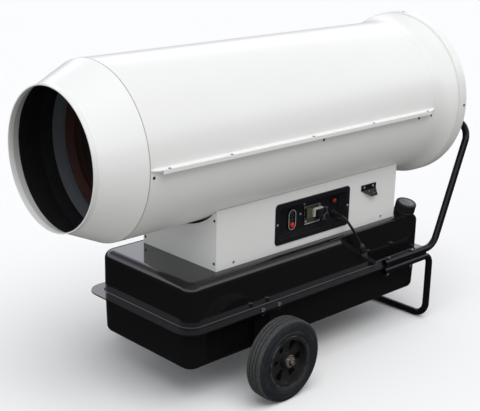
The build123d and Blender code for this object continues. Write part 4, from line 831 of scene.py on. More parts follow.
@dataclass(frozen=True)
class Finishes:
    """Every finish of the heater that isn't made for one piece alone."""

    panel: Finish = WhiteCoat("panel_powder_coat")
    casing: Finish = LinedCoat("casing_powder_coat", band_end=0.0, shell_radius=247.9, seams=(MOUTH_SEAM,))
    outlet: Finish = LinedCoat("outlet_coat", seams=(MOUTH_SEAM,))
    bell: Finish = WhiteCoat(
        "bell_powder_coat", seams=(Seam(1300.0, 1.0, FAINT_SEAM), Seam(1403.5, 2.6, FAINT_SEAM))
    )
    tank: Finish = PowderCoat(
        "tank_gloss_black", (0.006, 0.006, 0.0064), 0.09, grain=3.2, depth=0.004, cloud=160, change=0.02,
        dust_share=0.015,
    )
    tube: Finish = PowderCoat(
        "tube_gloss_black", (0.005, 0.005, 0.006), 0.2, specular=0.25, grain=1.4, depth=0.01, cloud=70,
        change=0.05, dust_share=0.03,
    )
    hook: Finish = PowderCoat(
        "hook_black", (0.006, 0.006, 0.007), 0.34, specular=0.3, grain=1.0, cloud=30, edge=0.6
    )
    guard: Finish = PowderCoat("guard_black", (0.014, 0.014, 0.015), 0.36, grain=1.0, cloud=40)
    motor: Finish = PowderCoat("motor_enamel", (0.045, 0.052, 0.06), 0.36, cloud=50, change=0.1, edge=0.6)
    shield: Finish = HeatTint(
        "aluminised_steel", (0.30, 0.34, 0.40), 0.5, start=170, length=980, wander=0.12,
        stops=((0.0, (0.26, 0.31, 0.34)), (0.12, (0.33, 0.38, 0.42)), (0.5, (0.42, 0.43, 0.43))),
    )
    ring: Finish = HeatTint(
        "tinted_steel", (0.26, 0.10, 0.06), 0.5, metallic=0.75, start=203, length=28, wander=0.8,
        depth=0.04, change=0.1,
        stops=((0.0, (0.12, 0.05, 0.04)), (0.5, (0.16, 0.085, 0.06)), (0.9, (0.09, 0.075, 0.10))),
    )
    chamber: Finish = HeatTint(
        "scaled_steel", (0.08, 0.07, 0.065), 0.62, start=206, length=690, wander=0.25, depth=0.05,
        change=0.1,
        stops=((0.0, (0.10, 0.06, 0.05)), (0.25, (0.045, 0.04, 0.045)), (0.7, (0.09, 0.08, 0.08)),
               (1.0, (0.13, 0.10, 0.07))),
    )
    burner: Finish = HeatTint(
        "burner_steel", (0.12, 0.11, 0.11), 0.5, metallic=0.8, start=838, length=124, wander=0.4,
        stops=((0.0, (0.07, 0.06, 0.07)), (0.3, (0.13, 0.09, 0.06)), (1.0, (0.2, 0.2, 0.2))),
    )
    sheet: Finish = Galvanised(
        "galvanised_sheet", (0.52, 0.53, 0.53), 0.42, metallic=0.9, grain=0.8, depth=0.01, change=0.08
    )
    zinc: Finish = Plated(
        "zinc_plating", (0.60, 0.66, 0.70), 0.27, metallic=0.95, depth=0.01, change=0.05, edge=0.3
    )
    screw: Finish = Plated(
        "blackened_screw", (0.05, 0.05, 0.055), 0.34, metallic=0.7, cast=(0.09, 0.09, 0.1), depth=0.01,
        edge=0.3,
    )
    nut: Finish = Plated("axle_nut", (0.34, 0.34, 0.34), 0.34, cast=(0.26, 0.25, 0.24), depth=0.01, edge=0.4)
    bright: Finish = Plated("bright_nut", (0.60, 0.62, 0.64), 0.24, edge=0.4)
    shaft: Finish = Plated("ground_steel", (0.55, 0.55, 0.55), 0.25, cast=(0.5, 0.5, 0.5))
    brass: Finish = Plated("brass", (0.70, 0.50, 0.22), 0.28, cast=(0.62, 0.46, 0.24), edge=0.3)
    pin: Finish = Plated("plug_pin", (0.74, 0.62, 0.46), 0.26, cast=(0.66, 0.64, 0.62))
    copper: Finish = Plated("copper_pipe", (0.62, 0.30, 0.18), 0.3, cast=(0.36, 0.22, 0.16))
    rusty: Finish = Rusted("rusty_washer", (0.5, 0.48, 0.46), 0.4, metallic=0.9, depth=0.08, share=0.75)
    axle: Finish = Rusted("axle_steel", (0.45, 0.45, 0.45), 0.35, metallic=0.9, depth=0.05, share=0.3)
    bezel: Finish = Moulding(
        "bezel_moulding", (0.009, 0.009, 0.011), 0.36, grain=0.7, depth=0.03, cloud=60, edge=1.0
    )
    black: Finish = Moulding("black_moulding", (0.008, 0.008, 0.009), 0.34, edge=0.7)
    rubber: Finish = Moulding("lead_rubber", (0.010, 0.010, 0.011), 0.42, grain=0.6, depth=0.015, cloud=40)
    plug: Finish = Moulding("plug_moulding", (0.011, 0.011, 0.012), 0.36, grain=0.8, cloud=25, edge=0.5)
    cap: Finish = Moulding(
        "cap_moulding", (0.011, 0.011, 0.012), 0.38, specular=0.4, grain=0.8, depth=0.03, cloud=20
    )
    dial: Finish = Finish("cap_dial", (0.16, 0.163, 0.17), 0.3, coat=0.3, grain=0.9, cloud=12)
    box: Finish = Finish(
        "box_moulding", (0.02, 0.022, 0.026), 0.45, grain=0.9, depth=0.03, cloud=40, edge=0.8
    )
    latch: Finish = Finish(
        "latch_moulding", (0.44, 0.45, 0.42), 0.38, grain=0.9, depth=0.01, cloud=12, edge=0.6
    )
    red: Finish = ButtonGloss("red_button", (0.62, 0.025, 0.012), 0.22, coat=0.4)
    deep_red: Finish = ButtonGloss("reset_red", (0.30, 0.012, 0.01), 0.26)
    dark: Finish = ButtonGloss("dark_button", (0.02, 0.02, 0.021), 0.25)
    ceramic: Finish = Finish(
        "glazed_ceramic", (0.78, 0.76, 0.70), 0.12, coat=0.6, grain=3, depth=0.01, cloud=14
    )
    cast: Finish = Finish(
        "cast_metal", (0.46, 0.47, 0.48), 0.5, metallic=0.85, grain=1.8, depth=0.09, cloud=26, change=0.14,
        edge=0.9,
    )
    fan: Finish = Finish(
        "fan_metal", (0.60, 0.61, 0.62), 0.32, metallic=0.95, grain=1.0, cloud=45, change=0.1, edge=0.5
    )
    bowl: Finish = Finish(
        "filter_bowl", (0.62, 0.55, 0.36), 0.12, coat=0.5, grain=6, depth=0.01, cloud=22, change=0.2
    )


# ---- outlines and lines
def polar(radius: float, turn: float, height: float = 0.0) -> Vector:
    """The point at this radius and turn, and this high."""
    return Vector((radius * math.cos(turn), radius * math.sin(turn), height))


def turns(steps: int) -> list[float]:
    """Angles evenly spaced round a circle."""
    return [math.tau * count / steps for count in range(steps)]


def circle(radius: float, steps: int) -> list[Point]:
    """Points round a circle."""
    return [(radius * math.cos(turn), radius * math.sin(turn)) for turn in turns(steps)]


def arc(centre: Point, radius: float, start: float, end: float, steps: int = 5) -> list[Point]:
    """Points along an arc between two angles in degrees, both ends among them."""
    angles = [math.radians(start + (end - start) * count / steps) for count in range(steps + 1)]
    return [(centre[0] + radius * math.cos(turn), centre[1] + radius * math.sin(turn)) for turn in angles]


def rounded_rectangle(width: float, height: float, radius: float, steps: int) -> list[Point]:
    """The outline of a rectangle with round corners, about its own middle.

    Args:
        width: Its length along X.
        height: Its length along Y.
        radius: Radius of its corners.
        steps: How many spans each corner has.

    Returns:
        The outline.
    """
    x, y = width / 2 - radius, height / 2 - radius
    corners = (((x, y), 0), ((-x, y), 90), ((-x, -y), 180), ((x, -y), 270))
    return [point for centre, turn in corners for point in arc(centre, radius, turn, turn + 90, steps)]


def bent_route(corners: Sequence[Vector], radii: Sequence[float], steps: int = 14) -> list[Vector]:
    """The line of a tube: straight runs, with an arc at each corner between its ends.

    Args:
        corners: The ends and the corners of the runs.
        radii: The arc's radius at each corner.
        steps: How many spans make each arc.

    Returns:
        Points along the line.
    """
    line = [corners[0]]
    for before, here, after, radius in zip(corners, corners[1:], corners[2:], radii):
        back, ahead = (before - here).normalized(), (after - here).normalized()
        half = back.angle(ahead) / 2
        middle = here + (back + ahead).normalized() * radius / math.sin(half)
        start = here + back * radius / math.tan(half) - middle
        turn = math.pi - 2 * half
        axis = ahead.cross(back).normalized()
        angles = [turn * count / steps for count in range(steps + 1)]
        line += [middle + Matrix.Rotation(angle, 3, axis) @ start for angle in angles]
    return [*line, corners[-1]]


def sweep_rings(line: Sequence[Vector], radii: Sequence[float], steps: int = 40) -> list[list[Vector]]:
    """Rings of a round section along a line, each square to it.

    Args:
        line: Points along the line.
        radii: The section's radius at each point.
        steps: How many points go round.

    Returns:
        One ring for each point.
    """
    rings = []
    side = Vector((1, 0, 0))
    for count, (point, radius) in enumerate(zip(line, radii)):
        ahead = (line[min(count + 1, len(line) - 1)] - line[max(count - 1, 0)]).normalized()
        side = (side - ahead * side.dot(ahead)).normalized()
        up = ahead.cross(side)
        rings.append([point + side * x + up * y for x, y in circle(radius, steps)])
    return rings


# ---- meshes
class Billet:
    """A mesh in millimetres, built up from turned, swept and extruded forms."""

    ROUND = 48
    MERGE = 1e-4
    AXIS_REACH = 1e-6

    def __init__(self) -> None:
        """Start with nothing."""
        self.mesh = bmesh.new()

    def grid(self, rings: Sequence[Sequence[Vector]], closed: bool = False) -> None:
        """Skin rings of points. A ring of one point is a pole.

        Args:
            rings: The rings in order.
            closed: Whether the last ring joins the first.
        """
        rows = [[self.mesh.verts.new(point) for point in ring] for ring in rings]
        pairs = list(zip(rows, rows[1:]))
        if closed:
            pairs.append((rows[-1], rows[0]))
        for low, high in pairs:
            count = max(len(low), len(high))
            for here in range(count):
                after = (here + 1) % count
                feet = (low[here % len(low)], low[after % len(low)])
                heads = (high[after % len(high)], high[here % len(high)])
                self.mesh.faces.new(list(dict.fromkeys(feet + heads)))

    def fill(self, loops: Iterable[Iterable[Vector]]) -> None:
        """Close a flat outline, and leave its holes open.

        Args:
            loops: The outline, then its holes.
        """
        edges = []
        for loop in loops:
            corners = [self.mesh.verts.new(point) for point in loop]
            edges += [self.mesh.edges.new(pair) for pair in zip(corners, corners[1:] + corners[:1])]
        bmesh.ops.triangle_fill(self.mesh, use_beauty=True, edges=edges)

    def lathe(
        self, outline: Sequence[Point], place: Matrix, steps: int = ROUND, closed: bool = False
    ) -> None:
        """Turn an outline round a placement's Z.

        Args:
            outline: Radius and height of each point.
            place: The placement.
            steps: How many points go round.
            closed: Whether the outline's last point joins its first.
        """
        rings = []
        for radius, height in outline:
            angles = turns(steps if radius > self.AXIS_REACH else 1)
            rings.append([place @ polar(radius, turn, height) for turn in angles])
        self.grid(rings, closed)

    def plate(self, loops: Sequence[Sequence[Point]], low: float, high: float, place: Matrix) -> None:
        """Extrude an outline with holes along a placement's Z.

        Args:
            loops: The outline, then its holes.
            low: Where the plate starts.
            high: Where it ends.
            place: The placement.
        """
        ends = []
        for height in (low, high):
            ends.append([[place @ Vector((x, y, height)) for x, y in loop] for loop in loops])
            self.fill(ends[-1])
        for walls in zip(*ends):
            self.grid(walls)

    def block(self, size: Sequence[float], place: Matrix, round_by: float, steps: int = 3) -> None:
        """A block standing on a placement, with rounded edges.

        Args:
            size: Its lengths along X, Y and Z.
            place: The placement, at the middle of the block's foot.
            round_by: Radius of its edges.
            steps: How many faces make each edge's round.
        """
        lift = Matrix.Translation((0, 0, size[2] / 2)) @ Matrix.Diagonal((*size, 1.0))
        made = bmesh.ops.create_cube(self.mesh, size=1.0, matrix=place @ lift)
        edges = list({edge for vert in made["verts"] for edge in vert.link_edges})
        bmesh.ops.bevel(self.mesh, geom=edges, offset=round_by, segments=steps, profile=0.5, affect="EDGES")

    def merge(self, other: "Billet", place: Matrix) -> None:
        """Add a copy of another billet.

        Args:
            other: The billet to copy.
            place: Where its origin goes.
        """
        twins = {vert: self.mesh.verts.new(place @ vert.co) for vert in other.mesh.verts}
        for face in other.mesh.faces:
            self.mesh.faces.new([twins[vert] for vert in face.verts])

    def machine(self, name: str) -> bpy.types.Mesh:
        """Turn the billet into a mesh in metres, smooth but for its sharp edges.

        Args:
            name: The mesh's name.

        Returns:
            The mesh.
        """
        bmesh.ops.remove_doubles(self.mesh, verts=self.mesh.verts, dist=self.MERGE)
        bmesh.ops.recalc_face_normals(self.mesh, faces=self.mesh.faces)
        bmesh.ops.scale(self.mesh, vec=(MM, MM, MM), verts=self.mesh.verts)
        for face in self.mesh.faces:
            face.smooth = True
        for edge in self.mesh.edges:
            edge.smooth = len(edge.link_faces) == 2 and edge.calc_face_angle() < SHARP_ANGLE
        mesh = bpy.data.meshes.new(name)
        self.mesh.to_mesh(mesh)
        self.mesh.free()
        return mesh


@dataclass(frozen=True)
class Island(Box):
    """One separate solid of a node, with the middle and the normal of its largest flat face."""

    seat: Vector
    face: Vector


def islands(node: str) -> list[Island]:
    """Find the separate solids of a node.

    Args:
        node: Name of the node.

    Returns:
        The solids, sorted by place.
    """
    mesh = bmesh.new()
    mesh.from_mesh(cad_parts[node].data)
    bmesh.ops.remove_doubles(mesh, verts=mesh.verts, dist=SOLID_WELD)
    mesh.faces.index_update()
    left, found = set(mesh.faces), []
    while left:
        front = [left.pop()]
        faces = list(front)
        while front:
            near = {face for edge in front.pop().edges for face in edge.link_faces} & left
            left -= near
            front += near
            faces += near
        faces.sort(key=lambda face: face.index)
        flats: dict[tuple[float, ...], list[bmesh.types.BMFace]] = {}
        for face in faces:
            flats.setdefault(tuple(round(part, 2) for part in face.normal), []).append(face)
        largest = max(flats.values(), key=lambda flat: sum(face.calc_area() for face in flat))
        area = sum(face.calc_area() for face in largest)
        seat = sum((face.calc_center_median() * face.calc_area() for face in largest), Vector()) / area
        points = [vert.co for face in faces for vert in face.verts]
        low = Vector(min(point[axis] for point in points) for axis in range(3))
        high = Vector(max(point[axis] for point in points) for axis in range(3))
        found.append(Island(low / MM, high / MM, seat / MM, largest[0].normal.copy()))
    mesh.free()
    return sorted(found, key=lambda island: tuple(round(part, 3) for part in island.middle))


# ---- materials and pieces
class Paintshop:
    """Makes each material once, and puts it on nodes and on new pieces."""

    def __init__(self, finishes: Finishes) -> None:
        """Hold the finishes that materials are made from."""
        self.finishes = finishes
        self.made: dict[str, bpy.types.Material] = {}

    def material(self, finish: Finish) -> bpy.types.Material:
        """The material of a finish, made when first asked for.

        Args:
            finish: The finish.

        Returns:
            The material.
        """
        if finish.name not in self.made:
            self.made[finish.name] = finish.material()
        return self.made[finish.name]

    def dress(self, finish: Finish, *nodes: str) -> None:
        """Give nodes of the frame a finish.

        Args:
            finish: The finish.
            nodes: Names of the nodes.
        """
        for node in nodes:
            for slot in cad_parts[node].material_slots:
                slot.material = self.material(finish)
            log.info("dressed %s in %s", node, finish.name)

    def hang(
        self,
        name: str,
        data: bpy.types.Mesh | bpy.types.Curve,
        finish: Finish,
        slot: Slot,
        replaces: Sequence[str] = (),
        body: Body = Body.HEATER,
    ) -> bpy.types.Object:
        """Finish a new piece and hang it on its body.

        Args:
            name: The piece's name.
            data: Its mesh or curve.
            finish: Its finish.
            slot: Not used.
            replaces: Nodes of the frame that it stands for.
            body: The body that it moves with.

        Returns:
            The piece.
        """
        data.materials.append(self.material(finish))
        piece = bpy.data.objects.new(name, data)
        bpy.context.scene.collection.objects.link(piece)
        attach(piece, body.value)
        if replaces:
            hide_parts(*replaces)
        log.info("made %s", name)
        return piece

    def make(
        self,
        name: str,
        billet: Billet,
        finish: Finish,
        slot: Slot,
        replaces: Sequence[str] = (),
        body: Body = Body.HEATER,
    ) -> bpy.types.Object:
        """The piece that a billet becomes, as hang() says."""
        return self.hang(name, billet.machine(name), finish, slot, replaces, body)


@dataclass
class Assembly:
    """A part of the heater, which builds its pieces and dresses its nodes."""

    shop: Paintshop

    @property
    def finishes(self) -> Finishes:
        """The shop's finishes."""
        return self.shop.finishes

    def build(self) -> None:
        """Build and dress everything that belongs to the part."""
        raise NotImplementedError


# ---- casing, burner, drive and cabinet
@dataclass
class Casing(Assembly):
    """The painted shell: outlet cone, two halves, inlet bell and rear guard."""

    def build(self) -> None:
        """Dress the shell and the guard."""
        finishes, dress = self.finishes, self.shop.dress
        dress(finishes.outlet, "outlet_cone")
        dress(finishes.casing, "upper_casing", "lower_casing")
        dress(finishes.bell, "inlet_bell")
        dress(finishes.guard, "rear_guard")


@dataclass
class Burner(Assembly):
    """The hot end: shield, chamber, burner plate, flame disc, nozzle and electrodes."""

    def build(self) -> None:
        """Dress the hot parts."""
        finishes, dress = self.finishes, self.shop.dress
        dress(finishes.shield, "heat_shield")
        dress(finishes.chamber, "combustion_chamber")
        dress(finishes.ring, "chamber_ring")
        dress(finishes.burner, "burner_plate", "flame_disc")
        dress(finishes.brass, "nozzle_holder", "fuel_nozzle")
        dress(finishes.ceramic, "electrodes")
        dress(finishes.black, "photocell")


@dataclass
class Drive(Assembly):
    """The motor, its bracket and shaft, the fan, and the fuel pump with its lines."""

    def build(self) -> None:
        """Dress the drive."""
        finishes, dress = self.finishes, self.shop.dress
        dress(finishes.motor, "fan_motor")
        dress(finishes.sheet, "motor_bracket")
        dress(finishes.shaft, "motor_shaft")
        dress(finishes.fan, "fan")
        dress(finishes.black, "pump_coupling", "solenoid_valve")
        dress(finishes.cast, "fuel_pump")
        dress(finishes.copper, "fuel_lines")
        dress(finishes.bowl, "fuel_filter")


@dataclass
class Cabinet(Assembly):
    """The base cabinet with its tray, saddles and electrical boxes."""

    def build(self) -> None:
        """Dress the cabinet."""
        finishes, dress = self.finishes, self.shop.dress
        dress(finishes.panel, "front_panel", "rear_panel", "right_panel", "left_panel")
        dress(finishes.sheet, "component_tray", "casing_saddles")
        dress(finishes.box, "control_box", "ignition_transformer")
        dress(finishes.hook, "cord_hook")


# ---- control panel
@dataclass
class ControlPanel(Assembly):
    """The recessed bezel with its buttons, socket, latch and fuse holder."""

    dish: float = 0.5
    button_round: float = 1.4
    stop_round: float = 2.8
    reset_round: float = 4.0
    dome_shares: tuple[float, ...] = (0.8, 0.6, 0.4, 0.2, 0.0)
    button_steps: int = 64
    round_steps: int = 8
    line_inset: float = 1.2
    line_width: float = 2.0
    line_rise: float = 1.0
    plate_corner: float = 5.0
    pilot_half: Point = (3.5, 2.5)
    pilot_reach: float = 0.6
    olive_inset: float = 6.0
    olive_reach: float = 0.1
    olive_rise: float = 2.0
    knob_drop: float = 7.0
    knob_radius: float = 11.4
    knob_line: float = 1.2
    latch_bar: float = 5.0
    latch_leg: float = 5.5
    latch_depth: float = 7.2
    latch_edge: float = 0.8
    latch_root: float = 6.0
    latch_round: float = 5.0
    latch_corner: float = 2.0
    latch_taper: Point = (0.94, 0.97)
    root_inset: float = 0.5
    plug_round: float = 2.6
    rib_count: int = 5
    rib_height: float = 1.6
    rib_rise: float = 1.0
    rib_width: float = 0.5
    rib_inset: float = 4.5
    rib_round: float = 0.5

    def build(self) -> None:
        """Dress the panel, and make its buttons, its latch and its plug."""
        finishes = self.finishes
        self.shop.dress(finishes.bezel, "control_bezel")
        self.trims()
        self.button(Body.START, finishes.dark, Slot.BUTTON_BLACK, self.button_round, -self.dish)
        self.button(Body.STOP, finishes.red, Slot.BUTTON_RED, self.stop_round, self.dish)
        self.button(Body.RESET, finishes.deep_red, Slot.BUTTON_RED, self.reset_round, self.dish)
        self.latch()
        self.thermostat_plug()

    def trims(self) -> None:
        """Give each plate the light line round its edge, and what else it carries."""
        housing = Box.of("button_housing")
        pilot = Band(housing.middle, *self.pilot_half, (-1.0, self.pilot_reach), PILOT)
        rim = self.line(housing, TRIM_LINE, housing.size.y / 2)
        self.trim("button_housing", "housing_trim", rim, pilot)
        socket = Box.of("thermostat_socket")
        half_y, half_z = socket.size.y / 2 - self.olive_inset, socket.size.z / 2 - self.olive_inset
        rise = socket.low.x + self.olive_rise
        olive = Band(socket.middle, half_y, half_z, (-1.0, self.olive_reach), OLIVE, rise)
        self.trim("thermostat_socket", "socket_trim", self.line(socket, TRIM_LINE, self.plate_corner), olive)
        fuse = Box.of("fuse_holder")
        ring = (self.knob_radius - self.knob_line, self.knob_radius)
        drop = Vector((0, 0, self.knob_drop))
        knob = Band(fuse.middle - drop, 0.0, 0.0, ring, DIM_LINE, fuse.high.x - self.line_rise)
        self.trim("fuse_holder", "fuse_trim", self.line(fuse, DIM_LINE, self.plate_corner), knob)

    def line(self, box: Box, colour: Colour, corner: float) -> Band:
        """The line round a plate's edge.

        Args:
            box: The plate's box.
            colour: The line's colour.
            corner: Radius of the plate's corners.

        Returns:
            The line.
        """
        outer = corner - self.line_inset
        half_y, half_z = box.size.y / 2 - corner, box.size.z / 2 - corner
        reach = (outer - self.line_width, outer)
        return Band(box.middle, half_y, half_z, reach, colour, box.low.x + self.line_rise)

    def trim(self, node: str, name: str, *bands: Band) -> None:
        """Dress a plate in a black moulding of this name, with bands of other colours."""
        moulding = LinedMoulding(name, (0.009, 0.009, 0.010), 0.34, specular=0.35, edge=0.5, bands=bands)
        self.shop.dress(moulding, node)

    def button(self, body: Body, finish: Finish, slot: Slot, round_by: float, dome: float) -> None:
        """Make one round button in place of the node that is called as its body.

        Args:
            body: The body that it moves with.
            finish: Its finish.
            slot: A slot name, handed on to the shop.
            round_by: Radius of its front edge.
            dome: How far its middle stands out, or in where it is negative.
        """
        box = Box.of(body.value)
        radius = box.size.y / 2
        front = box.size.x - max(dome, 0)
        flat = radius - round_by
        outline = [(0, 0), (radius, 0), *arc((flat, front - round_by), round_by, 0, 90, self.round_steps)]
        outline += [(flat * share, front + dome * (1 - share * share)) for share in self.dome_shares]
        button = Billet()
        button.lathe(outline, box.inner_face, self.button_steps)
        self.shop.make(body.value + "_domed", button, finish, slot, [body.value], body)

    def latch(self) -> None:
        """The light latch that hooks over the plug, in place of its node."""
        box = Box.of("plug_latch")
        _, wide, tall = box.size
        bar, leg, corner = self.latch_bar, self.latch_leg, self.latch_corner
        outline = [
            (0, 0),
            *arc((self.latch_round, tall - self.latch_round), self.latch_round, 180, 90),
            *arc((wide - corner, tall - corner), corner, 90, 0, 3),
            (wide, tall - bar),
            *arc((leg + corner, tall - bar - corner), corner, 90, 180, 3),
            (leg, 0),
        ]
        shrink_y, shrink_z = self.latch_taper
        narrowed = []
        for y, z in outline:
            narrowed.append((wide / 2 + (y - wide / 2) * shrink_y, tall / 2 + (z - tall / 2) * shrink_z))
        left, right = self.root_inset, leg - self.root_inset
        root = [(left, left), (right, left), (right, self.latch_root), (left, self.latch_root)]
        place = Matrix(((0, 0, 1, box.low.x), (1, 0, 0, box.low.y), (0, 1, 0, box.low.z), (0, 0, 0, 1)))
        front, start = box.size.x - self.latch_edge, box.size.x - self.latch_depth
        latch = Billet()
        latch.plate([outline], start, front, place)
        latch.plate([narrowed], front, box.size.x, place)
        latch.plate([root], 0, start + self.latch_edge, place)
        self.shop.make("plug_latch_arch", latch, self.finishes.latch, Slot.LATCH, ["plug_latch"])

    def thermostat_plug(self) -> None:
        """The dark plug in the socket, with the grip ribs on its face, in place of its node."""
        box = Box.of("thermostat_plug")
        depth, width, height = box.size
        plug = Billet()
        plug.block((width, height, depth - self.rib_rise), box.inner_face, self.plug_round)
        pitch = height / (self.rib_count + 2)
        for count in range(self.rib_count):
            rise = (count - (self.rib_count - 1) / 2) * pitch
            foot = box.inner_face @ Matrix.Translation((0, rise, depth - self.rib_height))
            size = (width - 2 * self.rib_inset, pitch * self.rib_width, self.rib_height)
            plug.block(size, foot, self.rib_round, 2)
        finish = self.finishes.black
        self.shop.make("thermostat_plug_ribbed", plug, finish, Slot.PLUG, ["thermostat_plug"])


# ---- fasteners
@dataclass(frozen=True)
class Hexagon:
    """A hexagon head or nut with chamfered corners. Its skirt is the height of a round face under it."""

    across: float
    height: float
    bore: float = 0.0
    skirt: float = 0.0
    face_share: float = 0.97
    corner_angle: float = 30.0
    bore_chamfer: float = 0.4
    steps: int = 48

    def ring(self, reach: float, height: float, hexed: bool = False) -> list[Vector]:
        """A ring of points round the axis.

        Args:
            reach: Its radius.
            height: Its height.
            hexed: Whether the flats cut it.

        Returns:
            The ring.
        """
        sixth = math.pi / 3
        ring = []
        for turn in turns(self.steps):
            flat = self.across / 2 / math.cos((turn + sixth / 2) % sixth - sixth / 2)
            ring.append(polar(min(flat, reach) if hexed else reach, turn, height))
        return ring

    def billet(self) -> Billet:
        """Make the hexagon.

        Returns:
            The billet.
        """
        flat, corner = self.across / 2, self.across / math.sqrt(3)
        drop = (corner - flat) * math.tan(math.radians(self.corner_angle))
        face, top = flat * self.face_share, self.height
        rings = [[Vector((0, 0, top))]]
        if self.bore:
            chamfer = self.bore_chamfer
            rings = [self.ring(self.bore, top - chamfer), self.ring(self.bore + chamfer, top)]
        rings += [self.ring(face, top), self.ring((flat + corner) / 2, top - drop / 2, True)]
        rings += [self.ring(corner, top - drop, True), self.ring(corner, self.skirt, True)]
        if self.skirt:
            rings += [self.ring(face, self.skirt), self.ring(face, 0)]
        rings.append(self.ring(self.bore, 0) if self.bore else [Vector((0, 0, 0))])
        hexagon = Billet()
        hexagon.grid(rings, closed=bool(self.bore))
        return hexagon


@dataclass
class Fasteners(Assembly):
    """The sheet screws and the bolts, with the details that they have from close by."""

    head_radius: float = 4.6
    head_height: float = 2.4
    head_edge: float = 0.5
    crown_radius: float = 3.2
    crown_angles: tuple[float, ...] = (18, 36, 54, 72, 90)
    shank_radius: float = 2.0
    shank_length: float = 5.0
    recess_arm: float = 2.3
    recess_half: float = 0.55
    recess_depth: float = 1.3
    recess_point: float = 0.3
    recess_taper: float = 0.72
    sideways: float = 0.9
    bolt_across: float = 13.0
    bolt_head: float = 5.5
    bolt_radius: float = 4.0
    bore_share: float = 0.32
    thread_pitch: float = 1.25
    thread_depth: float = 0.6
    thread_start: float = 0.8
    thread_length: float = 16.0
    tip_chamfer: float = 0.4
    tip_height: float = 0.5
    washer_height: float = 0.7
    long_solid: float = 15.0
    steps: int = 24

    def build(self) -> None:
        """Make the screws and the bolts in place of the frame's plain ones."""
        self.screws()
        self.bolts()

    def screw(self) -> Billet:
        """One pan head screw with a cross recess, standing on its seat.

        Returns:
            The screw.
        """
        screw = Billet()
        edge, drop = self.head_edge, self.head_height - self.head_edge
        crown, bulge = self.crown_radius, self.head_radius - self.crown_radius
        side = [(0, -self.shank_length), (self.shank_radius, -self.shank_length), (self.shank_radius, 0),
                (self.head_radius, 0), (self.head_radius, edge)]
        for turn in map(math.radians, self.crown_angles):
            side.append((crown + bulge * math.cos(turn), edge + drop * math.sin(turn)))
        screw.lathe(side, Matrix.Identity(4), self.steps)
        arm, half = self.recess_arm, self.recess_half
        quarter = ((arm, -half), (arm, half), (half, half))
        quarters = ((1, 0), (0, 1), (-1, 0), (0, -1))
        cross = [(x * cos - y * sin, x * sin + y * cos) for cos, sin in quarters for x, y in quarter]
        mouth, rim = ([Vector((x, y, self.head_height)) for x, y in loop]
                      for loop in (cross, circle(crown, self.steps)))
        screw.fill([rim, mouth])
        foot = self.head_height - self.recess_depth
        floor = [Vector((x * self.recess_taper, y * self.recess_taper, foot)) for x, y in cross]
        screw.grid([mouth, floor, [Vector((0, 0, foot - self.recess_point))]])
        return screw

    def screws(self) -> None:
        """Make the zinc screws of the side panels and the blackened ones of everything else."""
        finishes = self.finishes
        screw, zinc, dark = self.screw(), Billet(), Billet()
        cabinet_top = Box.of("right_panel").high.z
        for solid in islands("sheet_screws"):
            on_side_panel = abs(solid.face.x) > self.sideways and solid.seat.z < cabinet_top
            (zinc if on_side_panel else dark).merge(screw, aim(solid.seat, -solid.face))
        self.shop.make("panel_screws", zinc, finishes.zinc, Slot.ZINC, ["sheet_screws"])
        self.shop.make("casing_screws", dark, finishes.screw, Slot.BLACK_STEEL)

    def rod(self, length: float) -> list[Point]:
        """The outline of a bolt's rod, threaded at its lower end.

        Args:
            length: How long the rod is.

        Returns:
            Radius and height of each point, from its tip upwards.
        """
        root = self.bolt_radius - self.thread_depth
        outline: list[Point] = [(0, 0), (root - self.tip_chamfer, 0), (root, self.tip_height)]
        height = self.thread_start
        while height < self.thread_length:
            outline += [(self.bolt_radius, height), (root, height + self.thread_pitch / 2)]
            height += self.thread_pitch
        return [*outline, (self.bolt_radius, self.thread_length + 1), (self.bolt_radius, length), (0, length)]

    def bolts(self) -> None:
        """Make the flange's bolts and their nuts."""
        bolts = Billet()
        for solid in islands("flange_bolts"):
            _, across, tall = solid.size
            place = aim(Vector((solid.middle.x, solid.middle.y, solid.low.z)), (0, 0, 1))
            if tall > self.long_solid:
                head = Hexagon(self.bolt_across, self.bolt_head, skirt=self.washer_height)
                length = tall - self.bolt_head
                bolts.merge(head.billet(), place @ Matrix.Translation((0, 0, length)))
                bolts.lathe(self.rod(length), place, self.steps)
            else:
                bolts.merge(Hexagon(across, tall, across * self.bore_share).billet(), place)
        finish = self.finishes.bright
        self.shop.make("flange_bolts_threaded", bolts, finish, Slot.ZINC, ["flange_bolts"])


